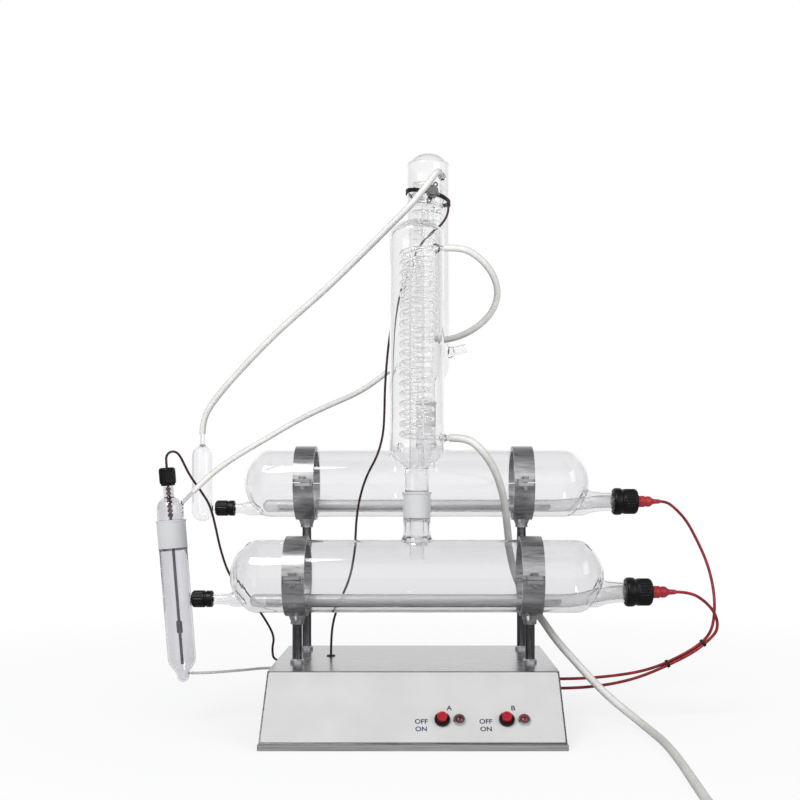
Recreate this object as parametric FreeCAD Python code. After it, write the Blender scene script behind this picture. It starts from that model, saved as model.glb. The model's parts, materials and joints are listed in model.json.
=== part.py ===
import FreeCAD, Part
import math
import os

# Glass water distiller with two boilers and two coil condensers.
# Frame: +Z up, +X to the right, -Y towards the front panel.
# The origin is the centre of the base's underside. All sizes are in millimetres.

os.makedirs("parts", exist_ok=True)
Vec = FreeCAD.Vector

# Base box
base_width = 350.0
base_depth = 284.0
base_height = 77.0
tray_floor = 1.5
tray_wall = 1.2
tray_rim = 6.5
tray_corner = 2.0
sheet = 1.2
panel_foot = 1.0
panel_depth = 71.0
bend_radius = 1.6
slip = 0.2
arc_step = 0.3
fit = 0.05
edge_round = 2.0

# Printed face plate and its controls
plate_thickness = 0.8
plate_margin = 2.0
control_row = 31.0
button_places = {"a": 33.4, "b": 107.1}
lamp_places = {"a": 53.0, "b": 127.2}
button_body_radius = 8.9
button_body_rise = 5.0
button_hole_radius = 7.8
button_cap_radius = 5.8
button_cap_rise = 5.5
button_travel = 3.0
button_stem_radius = 2.5
button_stem_length = 9.0
button_seat = 2.0
button_fit = 0.3
well_depth = 3.0
stem_depth = 12.5
switch_depth = 22.0
lamp_radius = 7.3
lamp_rise = 3.0
lamp_hole_radius = 6.0
lens_radius = 5.0
lens_rise = 2.2
lamp_depth = 18.0
lens_depth = 4.0
lens_fit = 0.15

# Boilers: front one low, rear one high
boiler_radius = 45.5
boiler_wall = 2.4
boiler_left = -229.0
boiler_right = 237.0
dome_depth = 34.0
dome_knuckle = 22.0
boilers = {
    "front": {"y": -6.0, "z": 185.3, "x_joint": 4.0, "right_drop": 20.0, "left_drop": 28.5,
              "cap_right": 264.0, "cap_left": -277.0},
    "rear": {"y": 104.7, "z": 302.5, "x_joint": 19.0, "right_drop": 25.0, "left_drop": 34.0,
             "cap_right": 269.0, "cap_left": -269.0},
}
neck_wall = 2.2
right_neck_radius = 13.0
right_neck_flare = 19.0
left_neck_radius = 6.5
left_neck_flare = 9.5

# Heaters inside the boilers
heater_drop = 31.0
heater_radius = 8.5
heater_wall = 1.4
heater_left = -205.0
heater_bend_start = 246.0
heater_bend_end = 204.0
element_radius = 4.5
element_inset = 12.0
element_end_gap = 20.0
element_clearance = 0.3

# Ground joints between boilers and condensers
joint_rise = 105.0
joint_length = 32.0
joint_top_radius = 14.6
joint_taper = 0.05
joint_clearance = 0.15
socket_wall = 2.6
socket_bead = 1.3
socket_bead_height = 4.0

# Condensers
condensers = {
    "front": {"jacket_radius": 34.0, "coil_hand": 1, "coil_loops": 18.528, "low_angle": 70.0,
              "coil_rise": 34.7},
    "rear": {"jacket_radius": 29.0, "coil_hand": -1, "coil_loops": 17.661, "low_angle": -127.0,
             "coil_rise": 50.5},
}
glass_wall = 2.0
shoulder_rise = 33.0
shoulder_height = 19.0
jacket_length = 289.0
crown_height = 19.0
crown_knuckle = 8.0
neck_radius = 15.5
riser_radius = 9.5
riser_wall = 1.5
riser_top_gap = 26.0
drip_drop = 84.0
coil_tube_radius = 3.6
coil_radius = 18.5
coil_pitch = 12.5
coil_sides = 8
port_clearance = 0.45

# Hose nozzles
hose_wall = 1.1
nozzle_wall = 1.2
nozzle_root_radius = 6.5
nozzle_root_length = 5.0
nozzle_bare = 4.0
nozzle_grip = 12.0
product_rise = 22.0
product_angle = 132.0
product_fall = 0.3
outlet_rise = 17.0
outlet_angle = 186.0
outlet_reach = 21.0
outlet_fall = 40.0
outlet_bend = 6.0
vent_rise = 39.0
vent_angle = -8.0
vent_climb = 0.22
vent_radius = 6.0
vent_ring_radius = 8.0
vent_length = 24.0
vent_wall = 1.5

# Clamps and posts
clamp_x = 145.5
clamp_width = 27.0
clamp_thickness = 4.0
clamp_clearance = 0.3
lug_length = 13.0
lug_thickness = 4.0
lug_gap = 1.2
lug_width = 24.0
stub_radius = 8.2
stub_top_radius = 13.0
stub_length = 16.0
stub_bore_depth = 13.0
stub_overlap = 6.0
post_radius = 6.0
foot_radius = 8.6
foot_height = 5.0
stud_radius = 4.0
stud_length = 11.0
nut_height = 4.0
nut_across = 13.0
bolt_radius = 2.5
bolt_head_across = 8.0
bolt_head_height = 3.5
bolt_nut_height = 4.0
bolt_clearance = 0.15
bolt_end = 2.0

# Screw caps
heater_cap_radius = 18.2
heater_cap_length = 33.5
heater_cap_end = 4.2
heater_cap_collar = 15.5
heater_cap_waist = 16.2
inlet_cap_radius = 10.6
inlet_cap_length = 26.0
inlet_cap_end = 3.0
cap_clearance = 0.1
cap_hole_clearance = 0.5
seal_length = 4.0
washer_length = 0.9

# Heater lead boots
boot_nose_radius = 6.8
boot_nose_length = 9.0
boot_radius = 7.7
boot_body_length = 17.0
boot_length = 30.0

# Level tube at the front left and level bulb at the rear left
level_lean = 4.57
level_x = -295.6
level_tip_z = 53.0
level_radius = 17.2
level_wall = 1.8
level_taper = 26.0
level_tip_radius = 7.5
level_socket_base = 168.0
level_socket_length = 35.0
level_socket_radius = 17.8
level_cone_radius = 16.2
level_head_length = 29.0
level_head_neck = 6.6
level_neck_length = 32.5
level_neck_wall = 1.8
feed_arm_rise = 7.0
feed_bare = 18.5
electrode_cap_gap = 14.0
electrode_cap_radius = 10.2
electrode_cap_length = 22.5
electrode_radius = 1.8
electrode_sleeve_radius = 3.6
electrode_sleeve_length = 15.0
electrode_collar = 6.0
electrode_proud = 0.4
rod_foot = 22.0
sleeve_foot = 62.0
drain_height = 11.0
drain_seat = 10.3
drain_grip = 6.0
drain_nozzle = 1.1
drain_bore = 0.6
arm_radius = 3.9
arm_wall = 1.2
arm_insert = 14.0
bulb_x = -287.0
bulb_radius = 14.2
bulb_bottom_drop = 51.5
bulb_length = 103.0
bulb_neck_length = 27.0

# Hoses and leads
supply_radius = 4.8
hose_radius = 4.1
feed_radius = 3.5
drain_radius = 1.7
lead_radius = 1.9
wire_radius = 1.5
grommet_radius = 5.6
grommet_lip = 1.3
grommet_hole = 0.15
port_reach = 6.0
cord_sides = 8
straight_end = 22.0
tie_places = [(367.5, 15.0, 98.5), (323.0, 17.5, 71.8)]
tie_ways = [(-14.0, 1.0, -12.0), (-17.0, 0.6, -8.0)]
tie_radius = 4.1
tie_thickness = 1.0
tie_width = 3.5

# Put-away length of the supply hose on the floor
coil_outer = 57.5
coil_step = 11.0
coil_turns = 2.0
coil_layer = 10.3
coil_ahead = 75.0
coil_lead_in = 34.0
supply_bore = 3.3
supply_rest = 5.2

# Thermostat on the rear condenser
thermostat_x = 24.3
thermostat_rise = 247.2
thermostat_gap = 0.1
thermostat_radius = 8.0
thermostat_depth = 9.0
thermostat_ear = 11.7
thermostat_tilt = 22.0
boss_height = 3.0
ear_radius = 3.4
ear_thickness = 1.2
ear_hole = 1.6
tab_width = 5.0
tab_thickness = 2.6
tab_reach = 4.5
tab_root = 1.5
strap_width = 5.0
strap_thickness = 1.4
strap_tilt = 14.0

# Mains gland in the back wall
gland_x = -110.0
gland_z = 32.0
gland_radius = 9.5
gland_bore = 4.5
gland_out = 16.0
gland_in = 9.0
gland_flange = 4.0
gland_nut = 3.5
gland_dome_wall = 1.2

# Control board inside the base
board_size = (120.0, 80.0, 1.6)
board_place = (-60.0, 55.0)
standoff_height = 10.0
standoff_radius = 3.0
standoff_inset = 5.0
transformer_size = (36.0, 30.0, 26.0)
relay_size = (20.0, 16.0, 16.0)
relay_pitch = 22.0
terminal_size = (12.0, 60.0, 11.0)

saved = {}


def save(name, shape):
    """Write one sub-part and keep it for the printed list."""
    solids = shape.Solids
    if not shape.isValid():
        print("NOT VALID", name)
    if len(solids) == 1:
        shape = solids[0]
    saved[name] = shape
    shape.exportStep("parts/" + name + ".step")
    box = shape.BoundBox
    print(f"{name}: {len(solids)} solid, {shape.Volume:.0f} mm3, Z {box.ZMin:.1f} to {box.ZMax:.1f}")


def group(shapes):
    return Part.makeCompound(shapes)


def cylinder(radius, length, start, direction):
    return Part.makeCylinder(radius, length, start, direction)


def ring(outer, inner, length, start, direction):
    return cylinder(outer, length, start, direction).cut(cylinder(inner, length, start, direction))


def turned(profile, start, direction):
    """Revolve (radius, height) points about an axis; ("arc", mid, end) makes an arc of short chords."""
    edges = []
    first = None
    last = None
    for item in profile:
        if item[0] == "arc":
            mid = Vec(item[1][0], 0, item[1][1])
            end = Vec(item[2][0], 0, item[2][1])
            bend = Part.Arc(last, mid, end).toShape()
            chords = math.ceil(bend.Length / bend.Curve.Radius / arc_step)
            for point in bend.discretize(chords + 1)[1:-1] + [end]:
                edges.append(Part.LineSegment(last, point).toShape())
                last = point
        else:
            point = Vec(item[0], 0, item[1])
            if last is not None and (point - last).Length > 1e-6:
                edges.append(Part.LineSegment(last, point).toShape())
            first = first or point
            last = point
    if (first - last).Length > 1e-6:
        edges.append(Part.LineSegment(last, first).toShape())
    face = Part.Face(Part.Wire(edges))
    solid = face.revolve(Vec(0, 0, 0), Vec(0, 0, 1), 360)
    if solid.Volume < 0:
        solid.reverse()
    return moved(solid, start, direction)


def bow(centre, radius, first, last):
    """Arc item for a turned profile, about a centre, from one angle to another in degrees."""
    points = []
    for angle in ((first + last) / 2, last):
        turn = math.radians(angle)
        points.append((centre[0] + radius * math.cos(turn), centre[1] + radius * math.sin(turn)))
    return ("arc", points[0], points[1])


def dome(radius, base, depth, knuckle, way=1):
    """Arc items of a domed end: a knuckle from the side wall and a crown centred on the axis."""
    crown = ((radius - knuckle) ** 2 + depth ** 2 - knuckle ** 2) / (2 * (depth - knuckle))
    join = math.degrees(math.atan2(crown - depth, radius - knuckle))
    items = [bow((radius - knuckle, base), knuckle, 0, join * way),
             bow((0, base + way * (depth - crown)), crown, join * way, 90 * way)]
    return items


def dome_up(radius, base, depth, knuckle):
    """The same end at a profile's foot, from its point on the axis up to the side wall."""
    crown = ((radius - knuckle) ** 2 + depth ** 2 - knuckle ** 2) / (2 * (depth - knuckle))
    join = math.degrees(math.atan2(crown - depth, radius - knuckle))
    return [(0, base - depth), bow((0, base - depth + crown), crown, -90, -join),
            bow((radius - knuckle, base), knuckle, -join, 0)]


def moved(shape, start, direction):
    """Turn a shape's +Z to a direction and put its origin at a point."""
    copy = shape.copy()
    turn = FreeCAD.Rotation(Vec(0, 0, 1), direction)
    copy.Placement = FreeCAD.Placement(start, turn).multiply(copy.Placement)
    return copy


def hexagon(across, height, start, direction):
    corner = across / math.sqrt(3)
    points = [Vec(corner * math.cos(math.radians(60 * k)), corner * math.sin(math.radians(60 * k)), 0)
              for k in range(7)]
    prism = Part.Face(Part.makePolygon(points)).extrude(Vec(0, 0, height))
    return moved(prism, start, direction)


def arc_between(start, corner, end):
    """Arc tangent to both legs of a corner whose legs are equally long."""
    half_chord = (end - start).Length / 2
    weight = half_chord / (corner - start).Length
    middle = (start + corner * (2 * weight) + end) * (1 / (2 + 2 * weight))
    return Part.Arc(start, middle, end).toShape()


def route_wire(points, name=""):
    """Straight runs joined by tangent arcs, each as large as its two runs allow."""
    edges = []
    last = points[0]
    radii = []
    for before, corner, after in zip(points, points[1:], points[2:]):
        back = before - corner
        ahead = after - corner
        turn = math.pi - back.getAngle(ahead)
        reach = 0.45 * min(back.Length, ahead.Length)
        radii.append(reach / math.tan(turn / 2))
        enter = corner + back.normalize() * reach
        leave = corner + ahead.normalize() * reach
        edges.append(Part.LineSegment(last, enter).toShape())
        edges.append(arc_between(enter, corner, leave))
        last = leave
    edges.append(Part.LineSegment(last, points[-1]).toShape())
    if name:
        shown = " ".join(f"{radius:.0f}" for radius in radii)
        print(f"{name}: arc radii {shown}")
    return Part.Wire(edges)


def section(radius, start, direction, sides=0):
    """A round section, or a flat-sided one of the same area for a thin cord."""
    if not sides:
        return Part.Wire([Part.Circle(start, direction, radius).toShape()])
    even = radius * math.sqrt(2 * math.pi / (sides * math.sin(2 * math.pi / sides)))
    points = [Vec(even * math.cos(2 * math.pi * k / sides), even * math.sin(2 * math.pi * k / sides), 0)
              for k in range(sides + 1)]
    return moved(Part.makePolygon(points), start, direction)


def pipe(wire, radius, sides=0):
    edge = wire.OrderedEdges[0]
    start = edge.valueAt(edge.FirstParameter)
    direction = edge.tangentAt(edge.FirstParameter)
    return wire.makePipeShell([section(radius, start, direction, sides)], True, False)


def cord(name, points, radius, sides=0):
    """A hose or lead along its chosen points, with its length and volume checked in print."""
    wire = route_wire(points, name)
    solid = pipe(wire, radius, sides)
    ideal = math.pi * radius ** 2 * wire.Length
    print(f"{name}: length {wire.Length:.0f} mm, volume ratio {solid.Volume / ideal:.4f}")
    return solid


def biarc(start, start_way, end, end_way):
    """Two tangent arcs that leave one point and reach another in given directions."""
    chord = end - start
    ways = start_way + end_way
    spread = 2 * (1 - start_way.dot(end_way))
    product = chord.dot(ways)
    reach = (-product + math.sqrt(product ** 2 + spread * chord.dot(chord))) / spread
    first_corner = start + start_way * reach
    last_corner = end - end_way * reach
    middle = (first_corner + last_corner) * 0.5
    return [arc_between(start, first_corner, middle), arc_between(middle, last_corner, end)]


def tray():
    low = Part.makeBox(base_width, base_depth, tray_rim, Vec(-base_width / 2, -base_depth / 2, 0))
    upright = [edge for edge in low.Edges if abs(edge.tangentAt(0).z) > 0.9]
    low = low.makeFillet(tray_corner, upright)
    inner = Part.makeBox(base_width - 2 * tray_wall, base_depth - 2 * tray_wall, tray_rim,
                         Vec(tray_wall - base_width / 2, tray_wall - base_depth / 2, tray_floor))
    upright = [edge for edge in inner.Edges if abs(edge.tangentAt(0).z) > 0.9]
    inner = inner.makeFillet(tray_corner - tray_wall, upright)
    return low.cut(inner)


house_half = base_width / 2 - tray_wall - slip
house_front = -base_depth / 2 + tray_wall + slip
house_back = -house_front
slope_foot = Vec(0, house_front, tray_rim + panel_foot)
slope_head = Vec(0, house_front + panel_depth, base_height)
slope_up = (slope_head - slope_foot).normalize()
slope_out = Vec(0, -slope_up.z, slope_up.y)
slope_length = (slope_head - slope_foot).Length


def on_slope(x, up, out=0.0):
    """Point on the sloped front, by its place across, up the slope and out from the sheet."""
    return Vec(x, 0, 0) + slope_foot + slope_up * up + slope_out * out


def house_profile(inset, bottom):
    corners = [(house_front, bottom), (house_front, slope_foot.z), (slope_head.y, slope_head.z),
               (house_back, base_height), (house_back, bottom)]
    outline = Part.makePolygon([Vec(0, y, z) for y, z in corners + corners[:1]])
    if inset:
        outline = outline.makeOffset2D(-inset, 2)
    return Part.Face(outline)


def post_places():
    return [(side * clamp_x, boilers[row]["y"]) for row in boilers for side in (-1, 1)]


ports = {
    "rear_heater": (Vec(house_half, 20.0, 52.0), Vec(1, 0, 0), lead_radius),
    "front_heater": (Vec(house_half, 20.0, 40.0), Vec(1, 0, 0), lead_radius),
    "level_hose": (Vec(-house_half, 50.0, 61.0), Vec(-1, 0, 0), drain_radius),
    "electrode": (Vec(-house_half, 92.0, 62.0), Vec(-1, 0, 0), wire_radius),
    "thermostat": (Vec(-107.8, 47.0, base_height), Vec(0, 0, 1), wire_radius),
}


def housing():
    outer = house_profile(0, tray_floor).extrude(Vec(2 * house_half, 0, 0))
    outer.translate(Vec(-house_half, 0, 0))
    bends = []
    for edge in outer.Edges:
        way = edge.tangentAt(edge.FirstParameter)
        if abs(way.x) > 0.9 and edge.CenterOfMass.z > base_height / 3:
            bends.append(edge)
    outer = outer.makeFillet(bend_radius, bends)
    inner = house_profile(sheet, tray_floor - 3 * sheet).extrude(Vec(2 * (house_half - sheet), 0, 0))
    inner.translate(Vec(-(house_half - sheet), 0, 0))
    shell = outer.cut(inner)
    for x, y in post_places():
        foot = Vec(x, y, base_height - 2 * sheet)
        shell = shell.cut(cylinder(stud_radius + slip, 4 * sheet, foot, Vec(0, 0, 1)))
    for place, way, thickness in ports.values():
        shell = shell.cut(cylinder(grommet_radius - grommet_lip, 4 * sheet, place - way * (2 * sheet), way))
    shell = shell.cut(cylinder(gland_radius - 2 + slip, 4 * sheet,
                               Vec(gland_x, house_back - 2 * sheet, gland_z), Vec(0, 1, 0)))
    return cut_controls(shell)


def cut_controls(shape):
    for x in button_places.values():
        shape = shape.cut(cylinder(button_hole_radius + slip, 10, on_slope(x, control_row, -5), slope_out))
    for x in lamp_places.values():
        shape = shape.cut(cylinder(lamp_hole_radius + slip, 10, on_slope(x, control_row, -5), slope_out))
    return shape


def face_plate():
    half = house_half - plate_margin
    plate = Part.makeBox(2 * half, slope_length - 2 * plate_margin, plate_thickness)
    plate.translate(Vec(-half, plate_margin, 0))
    corners = [edge for edge in plate.Edges if abs(edge.tangentAt(0).z) > 0.9]
    plate = plate.makeFillet(edge_round, corners)
    turn = FreeCAD.Rotation(Vec(1, 0, 0), slope_up, slope_out, "XYZ")
    plate.Placement = FreeCAD.Placement(slope_foot, turn).multiply(plate.Placement)
    return cut_controls(plate)


def button(name):
    """Red cap on its stem, standing proud of the black body."""
    x = button_places[name]
    start = on_slope(x, control_row, plate_thickness + button_body_rise - button_travel - button_seat)
    top = button_cap_rise + button_travel + button_seat
    wide = button_cap_radius
    cap = turned([(0, 0), (wide, 0), (wide, top - 1.2), (wide - 1.2, top), (0, top)], start, slope_out)
    stem = cylinder(button_stem_radius, button_stem_length, start - slope_out * button_stem_length, slope_out)
    return cap.fuse(stem).removeSplitter()


def button_body(name):
    """Round black body: bezel on the plate, barrel behind it and a well for the cap."""
    x = button_places[name]
    seat = plate_thickness
    rise = button_body_rise
    well = button_cap_radius + button_fit
    bore = button_stem_radius + button_fit
    depth = button_travel * 2 + well_depth
    wide = button_body_radius
    profile = [(well, seat + rise), (wide - 1.2, seat + rise), (wide, seat + rise - 1.4), (wide, seat),
               (button_hole_radius, seat), (button_hole_radius, -switch_depth),
               (0, -switch_depth), (0, -stem_depth), (bore, -stem_depth), (bore, seat + rise - depth),
               (well, seat + rise - depth)]
    return turned(profile, on_slope(x, control_row), slope_out)


def lamp_bezel(name):
    x = lamp_places[name]
    seat = plate_thickness
    inner = lens_radius + lens_fit
    profile = [(inner, seat + lamp_rise), (lamp_radius - 0.8, seat + lamp_rise), (lamp_radius, seat + 1.2),
               (lamp_radius, seat), (lamp_hole_radius, seat), (lamp_hole_radius, -lamp_depth),
               (0, -lamp_depth), (0, -lens_depth), (inner, -lens_depth)]
    return turned(profile, on_slope(x, control_row), slope_out)


def lamp_lens(name):
    x = lamp_places[name]
    top = plate_thickness + lamp_rise + lens_rise
    ball = (lens_radius ** 2 + lens_rise ** 2) / (2 * lens_rise)
    edge = math.degrees(math.acos(lens_radius / ball))
    profile = [(0, -lens_depth), (lens_radius, -lens_depth), (lens_radius, top - lens_rise),
               bow((0, top - ball), ball, edge, 90)]
    return turned(profile, on_slope(x, control_row), slope_out)


def ring_radius():
    return boiler_radius + clamp_clearance


def lower_clamp(row, side):
    """Lower half ring with side lugs and a tapered stub that takes the post."""
    spec = boilers[row]
    centre = Vec(side * clamp_x, spec["y"], spec["z"])
    inner = ring_radius()
    outer = inner + clamp_thickness
    start = centre - Vec(clamp_width / 2, 0, 0)
    band = ring(outer, inner, clamp_width, start, Vec(1, 0, 0))
    above = Part.makeBox(2 * clamp_width, 4 * outer, 2 * outer,
                         centre + Vec(-clamp_width, -2 * outer, -lug_gap / 2))
    stub_foot = centre - Vec(0, 0, outer + stub_length - stub_overlap)
    stub = turned([(0, 0), (stub_radius, 0), (stub_radius, 4), (stub_top_radius, stub_length),
                   (stub_top_radius, stub_length + 8), (0, stub_length + 8)], stub_foot, Vec(0, 0, 1))
    stub = stub.cut(cylinder(inner, 2 * clamp_width, centre - Vec(clamp_width, 0, 0), Vec(1, 0, 0)))
    body = band.cut(above).fuse([stub] + lugs(centre, outer, -1)).removeSplitter()
    bore = cylinder(post_radius + fit, stub_bore_depth, stub_foot, Vec(0, 0, 1))
    return drill_lugs(body.cut(bore), centre, outer)


def upper_clamp(row, side):
    spec = boilers[row]
    centre = Vec(side * clamp_x, spec["y"], spec["z"])
    inner = ring_radius()
    outer = inner + clamp_thickness
    start = centre - Vec(clamp_width / 2, 0, 0)
    band = ring(outer, inner, clamp_width, start, Vec(1, 0, 0))
    below = Part.makeBox(2 * clamp_width, 4 * outer, 2 * outer,
                         centre + Vec(-clamp_width, -2 * outer, lug_gap / 2 - 2 * outer))
    body = band.cut(below).fuse(lugs(centre, outer, 1)).removeSplitter()
    return drill_lugs(body, centre, outer)


def lugs(centre, outer, way):
    """Flat ears that the two half rings are bolted through, way is +1 above the split."""
    ears = []
    low = lug_gap / 2 if way > 0 else -lug_gap / 2 - lug_thickness
    root = outer - clamp_thickness + 1.5
    for side in (-1, 1):
        y = root if side > 0 else -outer - lug_length
        ear = Part.makeBox(lug_width, outer + lug_length - root, lug_thickness,
                           centre + Vec(-lug_width / 2, y, low))
        tips = [edge for edge in ear.Edges
                if abs(edge.tangentAt(0).z) > 0.9 and side * (edge.CenterOfMass.y - centre.y) > outer]
        ears.append(ear.makeFillet(2 * edge_round, tips))
    return ears


def bolt_axes(centre, outer):
    return [centre + Vec(0, side * (outer + lug_length * 0.5), 0) for side in (-1, 1)]


def drill_lugs(body, centre, outer):
    for axis in bolt_axes(centre, outer):
        hole = cylinder(bolt_radius + bolt_clearance, 4 * lug_thickness,
                        axis - Vec(0, 0, 2 * lug_thickness), Vec(0, 0, 1))
        body = body.cut(hole)
    return body


def clamp_fasteners():
    bolts = []
    nuts = []
    outer = ring_radius() + clamp_thickness
    half = lug_gap / 2 + lug_thickness
    for spec in boilers.values():
        for side in (-1, 1):
            centre = Vec(side * clamp_x, spec["y"], spec["z"])
            for axis in bolt_axes(centre, outer):
                shank_length = 2 * half + bolt_nut_height + bolt_end
                shank = cylinder(bolt_radius, shank_length, axis + Vec(0, 0, half - shank_length), Vec(0, 0, 1))
                head = hexagon(bolt_head_across, bolt_head_height, axis + Vec(0, 0, half), Vec(0, 0, 1))
                bolts.append(shank.fuse(head))
                nut = hexagon(bolt_head_across, bolt_nut_height, axis - Vec(0, 0, half + bolt_nut_height),
                              Vec(0, 0, 1))
                nuts.append(nut.cut(cylinder(bolt_radius + fit, 3 * bolt_nut_height,
                                             axis - Vec(0, 0, half + 2 * bolt_nut_height), Vec(0, 0, 1))))
    return group(bolts), group(nuts)


def stub_depth():
    return ring_radius() + clamp_thickness + stub_length - stub_overlap


def post(row, side):
    """Round post with a threaded stud at its foot, let into the clamp's stub at its head."""
    spec = boilers[row]
    foot = Vec(side * clamp_x, spec["y"], base_height)
    top = spec["z"] - stub_depth() + stub_bore_depth
    bar = cylinder(post_radius, top - base_height, foot, Vec(0, 0, 1))
    stud = cylinder(stud_radius, stud_length, foot - Vec(0, 0, stud_length), Vec(0, 0, 1))
    return bar.fuse(stud).removeSplitter()


def post_foot(x, y):
    return turned([(post_radius + fit, 0), (foot_radius, 0), (foot_radius, foot_height - 1.5),
                   (foot_radius - 1.5, foot_height), (post_radius + fit, foot_height)],
                  Vec(x, y, base_height), Vec(0, 0, 1))


def post_nut(x, y):
    low = base_height - sheet - nut_height
    nut = hexagon(nut_across, nut_height, Vec(x, y, low), Vec(0, 0, 1))
    return nut.cut(cylinder(stud_radius + fit, 3 * nut_height, Vec(x, y, low - nut_height), Vec(0, 0, 1)))


def boiler_bulk(inset):
    """Domed horizontal body along +X about its own axis."""
    radius = boiler_radius - inset
    depth = dome_depth - inset
    knuckle = dome_knuckle - inset
    profile = dome_up(radius, boiler_left + dome_depth, depth, knuckle)
    profile += [(radius, boiler_right - dome_depth)] + dome(radius, boiler_right - dome_depth, depth, knuckle)
    return turned(profile, Vec(0, 0, 0), Vec(1, 0, 0))


def joint_top(row):
    return boilers[row]["z"] + joint_rise


def boiler(row):
    """Blown glass boiler: one wall, three necks and a ground socket on top."""
    spec = boilers[row]
    axis = Vec(0, spec["y"], spec["z"])
    bore_right = right_neck_radius - neck_wall
    bore_left = left_neck_radius - neck_wall
    right_end = spec["cap_right"] + heater_cap_length - heater_cap_end - 1
    left_end = spec["cap_left"] + inlet_cap_end + 1
    outer = boiler_bulk(0)
    inner = boiler_bulk(boiler_wall)
    outer.translate(axis)
    inner.translate(axis)
    right_axis = axis + Vec(boiler_right - 30, 0, -spec["right_drop"])
    reach = right_end - right_axis.x
    flare = right_neck_flare
    thick = right_neck_radius
    neck = turned([(0, 0), (flare, 0), (flare, 22), ("arc", (thick + 1.8, 34), (thick, 48)), (thick, reach),
                   (0, reach)], right_axis, Vec(1, 0, 0))
    hollow = turned([(0, 4), (flare - neck_wall, 4), (flare - neck_wall, 22),
                     ("arc", (bore_right + 1.8, 34), (bore_right, 48)), (bore_right, reach + 1),
                     (0, reach + 1)], right_axis, Vec(1, 0, 0))
    left_axis = axis + Vec(boiler_left + 30, 0, -spec["left_drop"])
    reach = left_axis.x - left_end
    flare = left_neck_flare
    thick = left_neck_radius
    inlet = turned([(0, 0), (flare, 0), (flare, 26), ("arc", (thick + 0.9, 32), (thick, 39)), (thick, reach),
                    (0, reach)], left_axis, Vec(-1, 0, 0))
    inlet_hollow = turned([(0, 6), (flare - neck_wall, 6), (flare - neck_wall, 26),
                           ("arc", (bore_left + 0.9, 32), (bore_left, 39)), (bore_left, reach + 1),
                           (0, reach + 1)], left_axis, Vec(-1, 0, 0))
    socket, socket_hollow = socket_pieces(row)
    glass = outer.fuse([neck, inlet, socket]).cut(inner.fuse([hollow, inlet_hollow, socket_hollow]))
    return glass.removeSplitter()


def cone_radius(below_top):
    return joint_top_radius - joint_taper * below_top


def socket_pieces(row):
    """Neck with a flared root and a ground taper inside, and the hollow that is cut from it."""
    spec = boilers[row]
    axis = Vec(spec["x_joint"], spec["y"], 0)
    low = spec["z"] + boiler_radius - 12
    top = joint_top(row)
    wide = joint_top_radius + socket_wall
    root = spec["z"] + boiler_radius
    outer = turned([(0, low), (wide + 5, low), (wide + 5, root - 3),
                    ("arc", (wide + 1.4, root + 2), (wide, root + 9)), (wide, top - socket_bead_height),
                    (wide + socket_bead, top - socket_bead_height / 2),
                    (wide + socket_bead, top), (0, top)], axis, Vec(0, 0, 1))
    ground_low = top - joint_length
    ground_radius = cone_radius(joint_length)
    hollow = turned([(0, low - 4), (ground_radius + 1, low - 4), (ground_radius + 1, ground_low - 6),
                     (ground_radius, ground_low), (joint_top_radius, top), (joint_top_radius, top + 1),
                     (0, top + 1)], axis, Vec(0, 0, 1))
    return outer, hollow


def heater_axis(row):
    spec = boilers[row]
    neck_z = spec["z"] - spec["right_drop"]
    low_z = spec["z"] - heater_drop
    end = spec["cap_right"] + heater_cap_length - heater_cap_end - 2
    y = spec["y"]
    return [Vec(end, y, neck_z), Vec(heater_bend_start, y, neck_z), Vec(heater_bend_end, y, low_z),
            Vec(heater_left + heater_radius, y, low_z)]


def heater_tube(row):
    """Quartz tube: open in the neck, bent down and closed by a round end."""
    points = heater_axis(row)
    wire = route_wire(points)
    outer = pipe(wire, heater_radius).fuse(round_end(heater_radius, points[-1]))
    bore = heater_radius - heater_wall
    inner = pipe(wire, bore).fuse(round_end(bore, points[-1]))
    return outer.cut(inner).removeSplitter()


def round_end(radius, place):
    return turned([(0, 0), (radius, 0), bow((0, 0), radius, 0, 90)], place, Vec(-1, 0, 0))


def heater_element(row):
    """Closely wound wire on its core, lying in the straight part of the quartz tube."""
    drop = heater_radius - heater_wall - element_radius - element_clearance
    start = heater_axis(row)[-1] + Vec(element_inset, 0, -drop)
    return cylinder(element_radius, heater_bend_end - element_end_gap - start.x, start, Vec(1, 0, 0))


def heater_cap(row):
    """Two-step screw cap with a bulged collar."""
    spec = boilers[row]
    bore = right_neck_radius + cap_clearance
    hole = boot_nose_radius + cap_hole_clearance
    total = heater_cap_length
    collar = heater_cap_collar
    profile = [(bore, 0), (heater_cap_waist, 0), (heater_cap_radius, 2.6), (heater_cap_radius, collar - 2.4),
               (heater_cap_waist, collar), (heater_cap_waist, total - 3.0), (heater_cap_waist - 3.0, total),
               (hole, total), (hole, total - heater_cap_end), (bore, total - heater_cap_end)]
    start = Vec(spec["cap_right"], spec["y"], spec["z"] - spec["right_drop"])
    return turned(profile, start, Vec(1, 0, 0))


def inlet_cap(row):
    spec = boilers[row]
    bore = left_neck_radius + cap_clearance
    hole = arm_radius + cap_hole_clearance
    total = inlet_cap_length
    wide = inlet_cap_radius
    profile = [(hole, 0), (wide - 2.0, 0), (wide, 2.4), (wide, 15.5), (wide - 1.2, 16.2), (wide - 1.2, 18.0),
               (wide - 0.4, 18.8), (wide - 0.4, total), (bore, total), (bore, inlet_cap_end),
               (hole, inlet_cap_end)]
    start = Vec(spec["cap_left"], spec["y"], spec["z"] - spec["left_drop"])
    return turned(profile, start, Vec(1, 0, 0))


def boot_start(row):
    spec = boilers[row]
    face = spec["cap_right"] + heater_cap_length
    return Vec(face, spec["y"], spec["z"] - spec["right_drop"])


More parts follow.
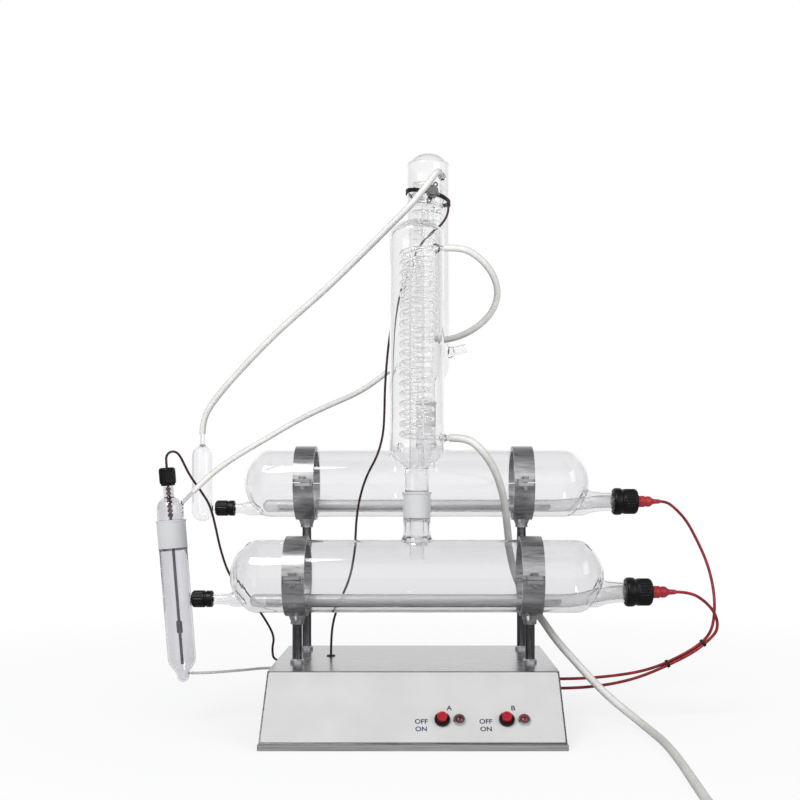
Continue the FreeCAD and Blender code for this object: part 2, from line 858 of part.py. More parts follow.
def lead_boot(row):
    """Soft boot on the heater's end, with ribs, that tapers onto the lead."""
    long_end = boot_length
    body = boot_body_length
    profile = [(0, -boot_nose_length), (boot_nose_radius, -boot_nose_length), (boot_nose_radius, 0.4),
               (boot_radius, 0.4), (boot_radius, body * 0.55), (boot_radius - 1, body * 0.55 + 1),
               (boot_radius - 1, body * 0.55 + 2.5), (boot_radius - 0.4, body * 0.55 + 3.5),
               (boot_radius - 0.8, body), (3.6, body + 4.5), (2.9, long_end), (0, long_end)]
    return turned(profile, boot_start(row), Vec(1, 0, 0))


def jacket_levels(row):
    """Heights of the condenser's features, all from its ground joint's rim."""
    rim = joint_top(row)
    shoulder = rim + shoulder_rise
    return rim, shoulder, shoulder + jacket_length, shoulder + jacket_length + crown_height


def jacket_profile(row, inset):
    rim, shoulder, crown, peak = jacket_levels(row)
    wide = condensers[row]["jacket_radius"] - inset
    neck = neck_radius - inset
    low = shoulder + shoulder_height
    cone_top = joint_top_radius - joint_clearance - inset
    cone_foot = cone_radius(joint_length) - joint_clearance - inset
    drip = riser_radius - inset * riser_wall / glass_wall
    tip = rim - drip_drop
    lift = inset * 0.7
    profile = [(0, tip - inset), (drip, tip - inset), (drip, rim - joint_length - 3),
               (cone_foot, rim - joint_length),
               (cone_top, rim), (neck, rim + 3), (neck, shoulder - 5),
               (neck + 1.6, shoulder - 1.0 + lift), (neck + 6.0, shoulder + 2.6 + lift),
               ("arc", (wide - 4.5, shoulder + 7.5 + lift), (wide, low)), (wide, crown)]
    return profile + dome(wide, crown, crown_height - inset, crown_knuckle - inset)


def polar(angle):
    return Vec(math.cos(math.radians(angle)), math.sin(math.radians(angle)), 0)


def coil_points(row):
    """Points and directions of the helix at every half turn; both ends leave it level."""
    spec = boilers[row]
    coil = condensers[row]
    rim, shoulder, crown, peak = jacket_levels(row)
    hand = coil["coil_hand"]
    turns = coil["coil_loops"]
    steps = math.ceil(turns * 2)
    centre = Vec(spec["x_joint"], spec["y"], shoulder + coil["coil_rise"])
    slope = coil_pitch / (2 * math.pi * coil_radius)
    points = []
    ways = []
    for step in range(steps + 1):
        angle = coil["low_angle"] + hand * 360 * turns * step / steps
        climb = slope if 0 < step < steps else 0
        points.append(centre + polar(angle) * coil_radius + Vec(0, 0, coil_pitch * turns * step / steps))
        ways.append((polar(angle + 90 * hand) + Vec(0, 0, climb)).normalize())
    return points, ways


def coil_ports(row):
    """Where the coil's straight ends leave the jacket, and which way they point."""
    points, ways = coil_points(row)
    wall = condensers[row]["jacket_radius"]
    straight = math.sqrt(wall ** 2 - coil_radius ** 2)
    return [(points[0] - ways[0] * straight, ways[0] * -1), (points[-1] + ways[-1] * straight, ways[-1])]


def condenser_coil(row):
    """Glass helix whose two ends run straight on into the nozzles in the jacket's wall."""
    points, ways = coil_points(row)
    low, high = coil_ports(row)
    edges = [Part.LineSegment(low[0], points[0]).toShape()]
    for first in range(len(points) - 1):
        edges += biarc(points[first], ways[first], points[first + 1], ways[first + 1])
    edges.append(Part.LineSegment(points[-1], high[0]).toShape())
    wire = Part.Wire(edges)
    solid = pipe(wire, coil_tube_radius, coil_sides)
    show_wound("condenser coil " + row, wire, solid, coil_tube_radius)
    return solid


def show_wound(name, wire, solid, radius):
    """Print the least gap of a wound tube to itself, and its volume against its section."""
    count = int(wire.Length / radius)
    samples = wire.discretize(count)
    skip = int(6 * radius / (wire.Length / count)) + 1
    best = wire.Length
    for first in range(count):
        for second in range(first + skip, count):
            best = min(best, samples[first].distanceToPoint(samples[second]))
    ideal = math.pi * radius ** 2 * wire.Length
    print(f"{name}: least gap to itself {best - 2 * radius:.2f} mm, volume ratio {solid.Volume / ideal:.4f}")


def nozzle(wall_point, way, bare, hose):
    """Hose nozzle on a glass wall: flared root, bare neck and the length that a hose grips."""
    thin = hose - hose_wall
    root = nozzle_root_length
    tip = root + bare + nozzle_grip
    profile = [(0, -root), (nozzle_root_radius, -root), (nozzle_root_radius, 0), (thin + 1.0, root * 0.5),
               (thin, root), (thin, tip), (0, tip)]
    return turned(profile, wall_point, way)


def nozzle_bore(wall_point, way, bare, hose, behind):
    length = nozzle_root_length + bare + nozzle_grip + behind + 1
    return cylinder(hose - hose_wall - nozzle_wall, length, wall_point - way * behind, way)


def hose_seat(wall_point, way, bare, hose):
    """Where a hose's end lies on a nozzle, the nozzle's direction and its radius."""
    return wall_point + way * (nozzle_root_length + bare), way, hose - hose_wall


def coil_hose(row, which):
    """Radius of the hose on a coil's lower (0) or upper (1) nozzle."""
    return supply_radius if (row, which) == ("front", 0) else hose_radius


def wall_place(row, rise, angle):
    """Point just inside the jacket's outer wall, by its height above the shoulder and its angle."""
    spec = boilers[row]
    rim, shoulder, crown, peak = jacket_levels(row)
    axis = Vec(spec["x_joint"], spec["y"], shoulder + rise)
    return axis + polar(angle) * (condensers[row]["jacket_radius"] - 0.5)


def product_nozzle():
    """The front condenser's outlet, low on the left towards the back."""
    way = (polar(product_angle) + Vec(0, 0, -product_fall)).normalize()
    wall_point = wall_place("front", product_rise, product_angle)
    return (nozzle(wall_point, way, nozzle_bare, hose_radius),
            nozzle_bore(wall_point, way, nozzle_bare, hose_radius, nozzle_root_length + 2))


def outlet_seat():
    """Seat of the feed hose on the rear condenser's bent outlet."""
    level = polar(outlet_angle)
    lean = math.radians(outlet_fall)
    way = (level * math.cos(lean) + Vec(0, 0, -math.sin(lean))).normalize()
    elbow = wall_place("rear", outlet_rise, outlet_angle) + level * outlet_reach
    return elbow + way * outlet_bend, way, feed_radius - hose_wall


def bent_outlet():
    """Outlet that runs level from the rear condenser's wall and then turns down to its hose."""
    seat, way, thin = outlet_seat()
    wall_point = wall_place("rear", outlet_rise, outlet_angle)
    level = polar(outlet_angle)
    elbow = wall_point + level * outlet_reach
    tip = seat + way * (nozzle_grip - 2)
    root = nozzle_root_length
    solid = pipe(route_wire([wall_point - level * root, elbow, tip]), thin)
    flare = turned([(0, -root), (nozzle_root_radius, -root), (nozzle_root_radius, 0), (thin + 1.0, root * 0.5),
                    (thin, root), (0, root)], wall_point, level)
    bore = pipe(route_wire([wall_point - level * (root + 2), elbow, tip + way]), thin - nozzle_wall)
    return solid.fuse(flare), bore


def vent():
    """Short open tube on the rear condenser's right, with two rings at its root."""
    way = (polar(vent_angle) + Vec(0, 0, vent_climb)).normalize()
    wall_point = wall_place("rear", vent_rise, vent_angle)
    wide = vent_ring_radius
    thin = vent_radius
    solid = turned([(0, -6), (wide, -6), (wide, 2.4), (wide - 0.8, 3.2), (thin + 0.6, 3.2), (thin + 0.6, 4.6),
                    (wide - 0.8, 4.6), (wide - 0.8, 6.6), (thin, 7.4), (thin, vent_length), (0, vent_length)],
                   wall_point, way)
    return solid, cylinder(thin - vent_wall, vent_length + 10, wall_point - way * 8, way)


def jacket(row):
    """Condenser jacket: ground cone, drip tube, central riser, domed shell and side nozzles."""
    spec = boilers[row]
    rim, shoulder, crown, peak = jacket_levels(row)
    axis = Vec(spec["x_joint"], spec["y"], 0)
    outer = turned(jacket_profile(row, 0), axis, Vec(0, 0, 1))
    inner = turned(jacket_profile(row, glass_wall), axis, Vec(0, 0, 1))
    riser_low = shoulder - 4
    riser_top = crown - riser_top_gap
    bore = riser_radius - riser_wall
    seat = neck_radius - glass_wall + 0.6
    riser = turned([(bore, riser_low), (seat, riser_low), (seat, riser_low + riser_wall),
                    (riser_radius, riser_low + riser_wall), (riser_radius, riser_top), (bore, riser_top)],
                   axis, Vec(0, 0, 1))
    stubs = []
    hollows = []
    for which, (wall_point, way) in enumerate(coil_ports(row)):
        hose = coil_hose(row, which)
        stubs.append(nozzle(wall_point, way, nozzle_bare, hose))
        hollows.append(nozzle_bore(wall_point, way, nozzle_bare, hose, 1))
        length = 2 * nozzle_root_length
        hollows.append(cylinder(coil_tube_radius + port_clearance, length, wall_point - way * length, way))
    for stub, hollow in [product_nozzle()] if row == "front" else [bent_outlet(), vent()]:
        stubs.append(stub)
        hollows.append(hollow)
    shell = outer.fuse(stubs).cut(inner.fuse(hollows))
    return shell.fuse(riser).removeSplitter()


level_way = Vec(-math.sin(math.radians(level_lean)), 0, math.cos(math.radians(level_lean)))


def inlet_height(row):
    return boilers[row]["z"] - boilers[row]["left_drop"]


def level_start():
    """Tip of the leaning tube, placed so that its axis meets the boiler's inlet neck."""
    height = inlet_height("front") - level_tip_z
    return Vec(level_x, boilers["front"]["y"], inlet_height("front")) - level_way * (height / level_way.z)


def inlet_arm(row, start_x, inset):
    """Side arm that runs through the screw cap into the boiler's inlet neck."""
    spec = boilers[row]
    end_x = spec["cap_left"] + inlet_cap_end + 1 + arm_insert
    start = Vec(start_x, spec["y"], inlet_height(row))
    extra = 1 if inset else 0
    return cylinder(arm_radius - inset, end_x - start_x + extra, start, Vec(1, 0, 0))


def level_body():
    """Lower level tube: tapered tip, straight body and ground socket, with inlet and drain arms."""
    start = level_start()
    wide = level_radius
    thin = level_radius - level_wall
    base = level_socket_base
    top = base + level_socket_length
    tip = level_tip_radius
    rim = level_socket_radius + 0.7
    cone_foot = level_cone_radius - joint_taper * level_socket_length
    outer = turned([(0, 0), bow((0, tip), tip, -90, 0), (tip + 0.8, 12), (wide - 1.5, level_taper - 3),
                    (wide, level_taper + 3), (wide, base - 3), (level_socket_radius, base),
                    (level_socket_radius, top - 3), (rim, top - 2), (rim, top), (0, top)], start, level_way)
    inner = turned([(0, level_wall), bow((0, tip), tip - level_wall, -90, 0), (tip - 1.0, 13),
                    (thin - 1.5, level_taper - 2), (thin, level_taper + 4), (thin, base - 4), (cone_foot, base),
                    (level_cone_radius, top), (level_cone_radius, top + 1), (0, top + 1)], start, level_way)
    arm = inlet_arm("front", level_x + wide - 4, 0)
    arm_bore = inlet_arm("front", level_x + wide - 8, arm_wall)
    root = drain_root()
    length = drain_seat + drain_grip
    drain = turned([(0, 0), (drain_nozzle + 1.6, 0), (drain_nozzle + 1.6, drain_seat - 3.0),
                    (drain_nozzle, drain_seat - 1.5), (drain_nozzle, length), (0, length)], root, Vec(1, 0, 0))
    bore = cylinder(drain_bore, length + 1, root, Vec(1, 0, 0))
    return outer.fuse([arm, drain]).cut(inner.fuse([arm_bore, bore])).removeSplitter()


def drain_root():
    """Start of the small arm just above the tip that the level hose goes on."""
    return level_start() + level_way * drain_height


def head_end():
    return level_socket_base + level_socket_length + level_head_length


def level_head():
    """Head with its ground cone, domed shoulder, cap neck and slanted side arm."""
    start = level_start()
    base = level_socket_base
    top = base + level_socket_length
    cone_top = level_cone_radius - joint_clearance
    cone_foot = cone_top - joint_taper * level_socket_length
    wide = level_radius - 0.8
    head = head_end()
    neck = level_head_neck
    wall = level_wall
    bore = neck - level_neck_wall
    ball = head - math.sqrt(wide ** 2 - neck ** 2)
    close = math.degrees(math.acos(bore / (wide - wall)))
    outer = turned([(0, base + 1), (cone_foot, base + 1), (cone_top, top), (wide, top + 2.5), (wide, ball),
                    bow((0, ball), wide, 0, math.degrees(math.acos(neck / wide))),
                    (neck, head + level_neck_length), (0, head + level_neck_length)], start, level_way)
    inner = turned([(0, base), (cone_foot - wall, base), (cone_top - wall, top), (wide - wall, top + 2.5),
                    (wide - wall, ball), bow((0, ball), wide - wall, 0, close),
                    (bore, head + level_neck_length + 1), (0, head + level_neck_length + 1)], start, level_way)
    wall_point, way = feed_arm()
    stub = nozzle(wall_point, way, feed_bare, feed_radius)
    bore = nozzle_bore(wall_point, way, feed_bare, feed_radius, 9)
    return outer.fuse(stub).cut(inner.fuse(bore)).removeSplitter()


def feed_arm():
    """Wall point and direction of the head's slanted arm, which the feed hose goes on."""
    way = Vec(1, 0, 1).normalize()
    on_axis = level_start() + level_way * (level_socket_base + level_socket_length + feed_arm_rise)
    return on_axis + way * (level_radius - 0.5), way


def electrode_cap():
    start = level_start() + level_way * (head_end() + electrode_cap_gap)
    wide = electrode_cap_radius
    bore = level_head_neck + cap_clearance
    total = electrode_cap_length
    hole = wire_radius + cap_hole_clearance
    profile = [(bore, 0), (wide - 1.2, 0), (wide, 1.5), (wide, total - 5), (wide - 1.0, total - 3.6),
               (wide - 1.0, total - 1.2), (wide - 2.2, total), (hole, total), (hole, total - 3.0),
               (bore, total - 3.0)]
    return turned(profile, start, level_way)


def electrode_top():
    return head_end() + level_neck_length + electrode_proud


def electrode():
    """Level rod hanging from the cap, with an insulating sleeve near its foot."""
    start = level_start()
    top = electrode_top()
    rod = cylinder(electrode_radius, top - rod_foot, start + level_way * rod_foot, level_way)
    sleeve_start = start + level_way * sleeve_foot
    sleeve = cylinder(electrode_sleeve_radius, electrode_sleeve_length, sleeve_start, level_way)
    collar = cylinder(level_head_neck - level_neck_wall - fit, electrode_collar,
                      start + level_way * (top - electrode_collar), level_way)
    return rod.fuse([sleeve, collar]).removeSplitter()


def level_bulb():
    """Rear level vessel: closed glass bulb with a hose nozzle on top and an inlet arm."""
    spec = boilers["rear"]
    low = spec["z"] - bulb_bottom_drop
    wide = bulb_radius
    wall = level_wall
    neck = hose_radius - hose_wall
    bore = neck - nozzle_wall
    tall = bulb_length
    start = Vec(bulb_x, spec["y"], low)
    meet = math.degrees(math.acos((neck + 1.5) / wide))
    outer = turned([(0, 0), bow((0, wide), wide, -90, 0), (wide, tall - wide),
                    bow((0, tall - wide), wide, 0, meet), (neck, tall + 1.5), (neck, tall + bulb_neck_length), (0, tall + bulb_neck_length)],
                   start, Vec(0, 0, 1))
    inside = wide - wall
    close = math.degrees(math.acos(bore / inside))
    inner = turned([(0, wall), bow((0, wide), inside, -90, 0), (inside, tall - wide),
                    bow((0, tall - wide), inside, 0, close), (bore, tall + bulb_neck_length + 1),
                    (0, tall + bulb_neck_length + 1)], start, Vec(0, 0, 1))
    arm = inlet_arm("rear", bulb_x + wide - 3, 0)
    arm_bore = inlet_arm("rear", bulb_x + wide - 7, arm_wall)
    return outer.fuse(arm).cut(inner.fuse(arm_bore)).removeSplitter()


def bulb_seat():
    spec = boilers["rear"]
    height = spec["z"] - bulb_bottom_drop + bulb_length + bulb_neck_length - nozzle_grip
    return Vec(bulb_x, spec["y"], height), Vec(0, 0, 1), hose_radius - hose_wall


def seals():
    """Soft rings that hold the heaters in their necks and close the inlet caps."""
    rings = []
    for row, spec in boilers.items():
        neck_z = spec["z"] - spec["right_drop"]
        mouth = spec["cap_right"] + heater_cap_length - heater_cap_end - 1
        rings.append(ring(right_neck_radius - neck_wall - fit, heater_radius + fit, seal_length,
                          Vec(mouth - seal_length - 1, spec["y"], neck_z), Vec(1, 0, 0)))
        mouth = spec["cap_left"] + inlet_cap_end
        rings.append(ring(left_neck_radius - 2 * fit, arm_radius + fit, washer_length,
                          Vec(mouth + fit, spec["y"], inlet_height(row)), Vec(1, 0, 0)))
    return group(rings)


def thermostat_place():
    """Centre of the thermostat's face on the rear jacket, and the tilted frame of its ears."""
    spec = boilers["rear"]
    rim, shoulder, crown, peak = jacket_levels("rear")
    y = spec["y"] - condensers["rear"]["jacket_radius"] - strap_thickness - thermostat_gap
    return Vec(thermostat_x, y, shoulder + thermostat_rise)


def thermostat_ways():
    """Directions of the ears and of the terminal, in the plane of the thermostat's face."""
    lean = math.radians(thermostat_tilt)
    return Vec(math.sin(lean), 0, math.cos(lean)), Vec(math.cos(lean), 0, -math.sin(lean))


def thermostat():
    """Two-eared disc thermostat: ears, round body, raised boss and a terminal tab."""
    face = thermostat_place()
    out = Vec(0, -1, 0)
    ear_way, tab_way = thermostat_ways()
    body = cylinder(thermostat_radius, thermostat_depth, face, out)
    boss = cylinder(thermostat_radius * 0.72, boss_height, face + out * thermostat_depth, out)
    ears = []
    for side in (-1, 1):
        tip = face + ear_way * (side * thermostat_ear)
        ear = cylinder(ear_radius, ear_thickness, tip, out)
        ears.append(ear.cut(cylinder(ear_hole, 2 * ear_thickness, tip, out)))
        half = tab_way * ear_radius
        inner_end = tip - ear_way * (side * (ear_hole + 0.6))
        corners = [face - half, face + half, inner_end + half, inner_end - half, face - half]
        ears.append(Part.Face(Part.makePolygon(corners)).extrude(out * ear_thickness))
    side = Vec(tab_way.z, 0, -tab_way.x) * (tab_thickness / 2)
    root = face + out * (thermostat_depth - tab_width) + tab_way * (thermostat_radius - tab_root)
    tip = root + tab_way * tab_reach
    corners = [root - side, root + side, tip + side, tip - side, root - side]
    tab = Part.Face(Part.makePolygon(corners)).extrude(out * tab_width)
    return body.fuse([boss, tab] + ears).removeSplitter()


def strap():
    """Band that runs round the rear jacket behind the thermostat, on a slant."""
    spec = boilers["rear"]
    wall = condensers["rear"]["jacket_radius"]
    height = thermostat_place().z
    centre = Vec(spec["x_joint"], spec["y"], height)
    inner = wall + fit
    band = ring(inner + strap_thickness, inner, 2 * wall, centre - Vec(0, 0, wall), Vec(0, 0, 1))
    slab = Part.makeBox(4 * wall, 4 * wall, strap_width, Vec(-2 * wall, -2 * wall, -strap_width / 2))
    slab.rotate(Vec(0, 0, 0), Vec(0, 1, 0), strap_tilt)
    slab.translate(centre + Vec(0, 0, (thermostat_x - spec["x_joint"]) * math.tan(math.radians(strap_tilt))))
    return band.common(slab)


def gripped(solid, seat, way, thin):
    """Open a hose's end so that it slips over a nozzle that points the given way."""
    return solid.cut(cylinder(thin + fit, nozzle_grip + 0.3, seat - way * 0.01, way))


def hose_between(name, first, route, last, radius):
    """Hose from one nozzle seat to another; each seat is a point, a direction and a radius."""
    points = [first[0], first[0] + first[1] * straight_end]
    points += [Vec(*place) for place in route]
    points += [last[0] + last[1] * straight_end, last[0]]
    solid = cord(name, points, radius, cord_sides)
    show_route(name, points)
    return gripped(gripped(solid, *first), *last)


def show_route(name, points):
    places = " ".join(f"({p.x:.1f}, {p.y:.1f}, {p.z:.1f})" for p in points)
    print(f"route {name}: {places}")


def coil_seat(row, which):
    wall_point, way = coil_ports(row)[which]
    return hose_seat(wall_point, way, nozzle_bare, coil_hose(row, which))


link_route = [(79.4, -26.0, 580.5), (94.9, -16.0, 567.0), (104.5, -3.0, 551.0), (106.1, 10.0, 534.6),
              (98.8, 24.0, 518.0), (84.3, 37.0, 505.0), (68.0, 47.0, 496.4)]
overflow_route = [(20.5, 46.0, 694.0), (-3.7, 44.5, 663.0), (-28.4, 45.5, 638.8), (-62.3, 48.0, 605.4),
                  (-115.1, 56.0, 556.2), (-150.3, 63.5, 527.5), (-185.5, 72.0, 498.4), (-229.9, 84.0, 456.0),
                  (-262.6, 95.0, 422.5)]
feed_route = [(-77.9, 90.0, 422.0), (-114.4, 77.0, 405.0), (-154.9, 60.0, 383.6), (-194.2, 42.0, 357.7),
              (-224.8, 24.0, 337.6), (-244.8, 8.0, 321.5)]
supply_route = [(82.9, -10.0, 345.3), (98.7, 4.0, 325.6), (110.2, 22.0, 301.8), (118.2, 42.0, 273.5),
                (122.8, 58.0, 240.5), (126.8, 67.0, 209.8), (133.7, 70.0, 179.1), (142.6, 66.0, 158.4),
                (154.3, 52.0, 141.4), (166.0, 30.0, 124.6), (180.4, 12.0, 102.7), (200.5, 2.0, 80.2),
                (220.9, -4.0, 57.4), (245.4, -14.0, 33.1), (267.5, -34.0, 16.5), (281.0, -64.0, 7.0)]
supply_floor = [(286.0, -104.0), (286.2, -152.0), (283.5, -204.0), (280.0, -256.0), (276.0, -306.0),
                (273.0, -348.0), (272.0, -388.0)]
level_hose_route = [(-262.0, -6.0, 64.0), (-242.0, 5.0, 63.6), (-215.0, 27.0, 62.4), (-195.0, 50.0, 61.0)]
front_lead_route = [(345.9, -6.0, 165.1), (365.5, -2.0, 153.6), (380.7, 3.0, 136.7), (385.2, 9.0, 116.5),
                    (375.5, 13.1, 103.3), (361.5, 14.1, 91.3), (347.0, 14.3, 82.3), (332.1, 15.9, 74.4),
                    (315.1, 16.4, 66.4), (292.0, 17.3, 56.5), (265.4, 19.0, 48.2), (232.5, 20.5, 42.3),
                    (198.0, 20.0, 40.0)]
rear_lead_route = [(342.0, 104.7, 277.5), (354.0, 102.5, 268.0), (367.3, 96.0, 252.0), (379.3, 88.0, 226.0),
                   (389.4, 76.0, 197.3), (393.5, 62.0, 168.0), (392.1, 48.0, 142.0), (384.5, 30.0, 118.5),
                   (373.5, 15.9, 105.7), (359.5, 16.9, 93.7), (345.5, 18.5, 84.6), (330.9, 18.5, 77.2),
                   (313.9, 19.2, 69.2), (288.0, 20.2, 61.0), (258.0, 20.0, 56.3), (224.0, 20.3, 53.0),
                   (194.5, 20.0, 52.0)]
electrode_route = [(-309.2, -6.0, 326.5), (-309.6, -6.0, 335.0), (-305.2, -5.9, 340.6), (-298.2, -5.4, 341.2),
                   (-293.0, -4.0, 336.5), (-288.5, -0.5, 326.0), (-281.8, 4.0, 310.5), (-270.0, 12.0, 292.0),
                   (-260.6, 24.0, 273.7), (-256.2, 34.0, 249.1), (-251.7, 44.0, 217.6), (-243.1, 54.0, 184.4),
                   (-227.5, 62.0, 158.7), (-209.0, 70.0, 139.5), (-195.9, 80.0, 117.0), (-187.0, 88.0, 96.0),
                   (-191.0, 91.0, 79.0), (-188.0, 92.0, 62.0)]
thermostat_route = [(41.6, 66.0, 680.7), (45.8, 65.5, 670.5), (44.9, 63.0, 656.0), (36.5, 58.5, 641.0),
                    (14.5, 52.0, 620.7), (0.2, 49.0, 597.8), (-11.0, 48.2, 575.0), (-20.5, 47.8, 547.0),
                    (-27.5, 48.0, 518.0), (-32.4, 48.2, 488.2), (-35.6, 48.0, 456.0), (-37.8, 47.8, 424.0),
                    (-38.3, 48.0, 392.0), (-40.0, 48.2, 364.0), (-47.5, 48.0, 337.0), (-61.5, 49.0, 312.0),
                    (-70.0, 49.6, 286.0), (-75.0, 50.2, 256.0), (-76.3, 51.0, 227.7), (-78.5, 51.2, 204.0),
                    (-83.0, 51.0, 180.0), (-90.5, 50.5, 160.0), (-98.5, 49.6, 142.0), (-105.3, 48.2, 122.0),
                    (-107.8, 47.0, 97.0)]


def supply_coil_points():
    """Put-away length of the supply hose: one turn in, half a turn up, one turn out on top."""
    centre = Vec(*supply_floor[-1], supply_rest) + Vec(-coil_outer, -coil_ahead, 0)
    steps = int(coil_turns * 4)
    points = []
    ways = []
    for step in range(steps + 1):
        points.append(centre + coil_place(step / 4))
        ways.append((coil_place(step / 4 + 0.001) - coil_place(step / 4 - 0.001)).normalize())
    return points, ways


def coil_place(turn):
    """Place on the floor coil after so many turns, measured from the coil's middle."""
    middle = coil_turns / 2
    radius = coil_outer - coil_step * (middle - abs(turn - middle))
    climb = min(max((turn - middle + 0.25) / 0.5, 0), 1)
    angle = -2 * math.pi * turn
    return Vec(radius * math.cos(angle), radius * math.sin(angle), coil_layer * climb)


def supply_coil():
    points, ways = supply_coil_points()
    straight = 2 * supply_radius
    edges = [Part.LineSegment(points[0] - ways[0] * straight, points[0]).toShape()]
    for first in range(len(points) - 1):
        edges += biarc(points[first], ways[first], points[first + 1], ways[first + 1])
    end = points[-1] + ways[-1] * straight
    edges.append(Part.LineSegment(points[-1], end).toShape())
    wire = Part.Wire(edges)
    solid = pipe(wire, supply_radius, cord_sides)
    show_wound("supply coil", wire, solid, supply_radius)
    print(f"supply coil: length {wire.Length:.0f} mm")
    return solid.cut(cylinder(supply_bore, straight, end - ways[-1] * straight, ways[-1]))


def supply_hose():
    """Supply hose from the front coil's lower nozzle, down behind the boiler and over the floor."""
    seat, way, thin = coil_seat("front", 0)
    points, ways = supply_coil_points()
    join = points[0] - ways[0] * (2 * supply_radius)
    route = [seat, seat + way * straight_end] + [Vec(*place) for place in supply_route]
    route += [Vec(x, y, supply_rest) for x, y in supply_floor]
    route += [join - ways[0] * coil_lead_in, join]
    show_route("hose_supply", route)
    return gripped(cord("hose_supply", route, supply_radius, cord_sides), seat, way, thin)


def lead(name, start, route, port, radius):
    """A lead from its start to a few millimetres inside the base, through one of the ports."""
    place, way, thickness = ports[port]
    points = [start] + [Vec(*spot) for spot in route] + [place - way * port_reach]
    show_route(name, points)
    return cord(name, points, radius, cord_sides)


def heater_lead(row):
    start = boot_start(row) + Vec(boot_length, 0, 0)
    route = front_lead_route if row == "front" else rear_lead_route
    return lead("lead_heater_" + row, start, route, row + "_heater", lead_radius)


def electrode_lead():
    start = level_start() + level_way * electrode_top()
    return lead("lead_electrode", start, electrode_route, "electrode", wire_radius)


def thermostat_lead():
    ear_way, tab_way = thermostat_ways()
    depth = thermostat_depth - tab_width / 2
    start = thermostat_place() + Vec(0, -depth, 0) + tab_way * (thermostat_radius - tab_root + tab_reach)
    return lead("lead_thermostat", start, thermostat_route, "thermostat", wire_radius)


def level_hose():
    start = drain_root() + Vec(drain_seat, 0, 0)
    hose = lead("hose_level", start, level_hose_route, "level_hose", drain_radius)
    return hose.cut(cylinder(drain_nozzle + fit, drain_grip + 0.3, start - Vec(0.01, 0, 0), Vec(1, 0, 0)))


def grommet(place, way, bore):
    """Soft bush that snaps into a hole in the sheet, with a lip on both sides."""
    lip = grommet_lip
    wide = grommet_radius
    waist = wide - lip - fit
    back = -sheet - fit
    return turned([(bore, back - lip), (wide, back - lip), (wide, back), (waist, back), (waist, fit),
                   (wide, fit), (wide - 0.4, lip), (bore, lip)], place, way)


def grommets():
    return group([grommet(place, way, thickness + grommet_hole) for place, way, thickness in ports.values()])


def tie_wraps():
    """Ties round both heater leads where they run side by side, each with its small head."""
    ties = []
    for place, way in zip(tie_places, tie_ways):
        centre = Vec(*place)
        along = Vec(*way).normalize()
        start = centre - along * (tie_width / 2)
        band = cylinder(tie_radius + tie_thickness, tie_width, start, along)
        lock = Part.makeBox(3.0, 2.0 * tie_thickness + 2.0, tie_width + 0.6)
        lock.translate(Vec(-1.5, tie_radius + 0.4, -0.3))
        ties.append(band.fuse(moved(lock, start, along)).cut(cylinder(tie_radius, tie_width, start, along)))
    return group(ties)


def gland():
    """Mains gland in the back wall: hexagon body, domed nut and a bore for the cable."""
    place = Vec(gland_x, house_back, gland_z)
    way = Vec(0, 1, 0)
    flange = hexagon(2 * gland_radius, gland_flange, place, way)
    wide = gland_radius - gland_dome_wall
    dome_nut = turned([(0, gland_flange), (wide, gland_flange), (wide, gland_out - 5),
                       (gland_bore + gland_dome_wall, gland_out), (0, gland_out)], place, way)
    thread = cylinder(gland_radius - 2, gland_in, place - way * gland_in, way)
    nut = hexagon(2 * gland_radius, gland_nut, place - way * (sheet + gland_nut), way)
    body = flange.fuse([dome_nut, thread, nut])
    bore = cylinder(gland_bore, gland_out + gland_in + 2, place - way * (gland_in + 1), way)
    return body.cut(bore).removeSplitter()


def board():
    """Control board with its transformer, two relays and a terminal block."""
    length, width, thick = board_size
    x, y = board_place
    low = tray_floor + standoff_height
    plate = Part.makeBox(length, width, thick, Vec(x - length / 2, y - width / 2, low))
    top = low + thick
    transformer = Part.makeBox(*transformer_size, Vec(x - 52, y - 32, top))
    relays = [Part.makeBox(*relay_size, Vec(x - 4, y - 32 + k * relay_pitch, top)) for k in range(2)]
    terminals = Part.makeBox(*terminal_size, Vec(x + 40, y - 30, top))
    return plate.fuse([transformer, terminals] + relays).removeSplitter()


def standoffs():
    length, width, thick = board_size
    x, y = board_place
    pillars = []
    for dx in (-1, 1):
        for dy in (-1, 1):
            foot = Vec(x + dx * (length / 2 - standoff_inset), y + dy * (width / 2 - standoff_inset),
                       tray_floor)
            pillars.append(hexagon(2 * standoff_radius, standoff_height, foot, Vec(0, 0, 1)))
    return group(pillars)


save("base_tray", tray())
save("base_housing", housing())
save("front_panel", face_plate())
save("button_a", button("a"))
save("button_b", button("b"))
save("button_bodies", group([button_body(name) for name in button_places]))
save("lamp_bezels", group([lamp_bezel(name) for name in lamp_places]))
save("lamp_lenses", group([lamp_lens(name) for name in lamp_places]))
for row in boilers:
    save("posts_" + row, group([post(row, side) for side in (-1, 1)]))
save("post_collars", group([post_foot(x, y) for x, y in post_places()]))
save("post_nuts", group([post_nut(x, y) for x, y in post_places()]))
for row in boilers:
    save("clamps_lower_" + row, group([lower_clamp(row, side) for side in (-1, 1)]))
    save("clamps_upper_" + row, group([upper_clamp(row, side) for side in (-1, 1)]))
clamp_bolts, clamp_nuts = clamp_fasteners()
save("clamp_bolts", clamp_bolts)
save("clamp_nuts", clamp_nuts)
for row in boilers:
    save("boiler_" + row, boiler(row))
    save("heater_cap_" + row, heater_cap(row))
    save("inlet_cap_" + row, inlet_cap(row))
    save("condenser_jacket_" + row, jacket(row))
save("condenser_coils", group([condenser_coil(row) for row in boilers]))
save("heater_tubes", group([heater_tube(row) for row in boilers]))
save("heater_elements", group([heater_element(row) for row in boilers]))
save("lead_boots", group([lead_boot(row) for row in boilers]))
save("level_tube", level_body())
save("level_head", level_head())
save("electrode_cap", electrode_cap())
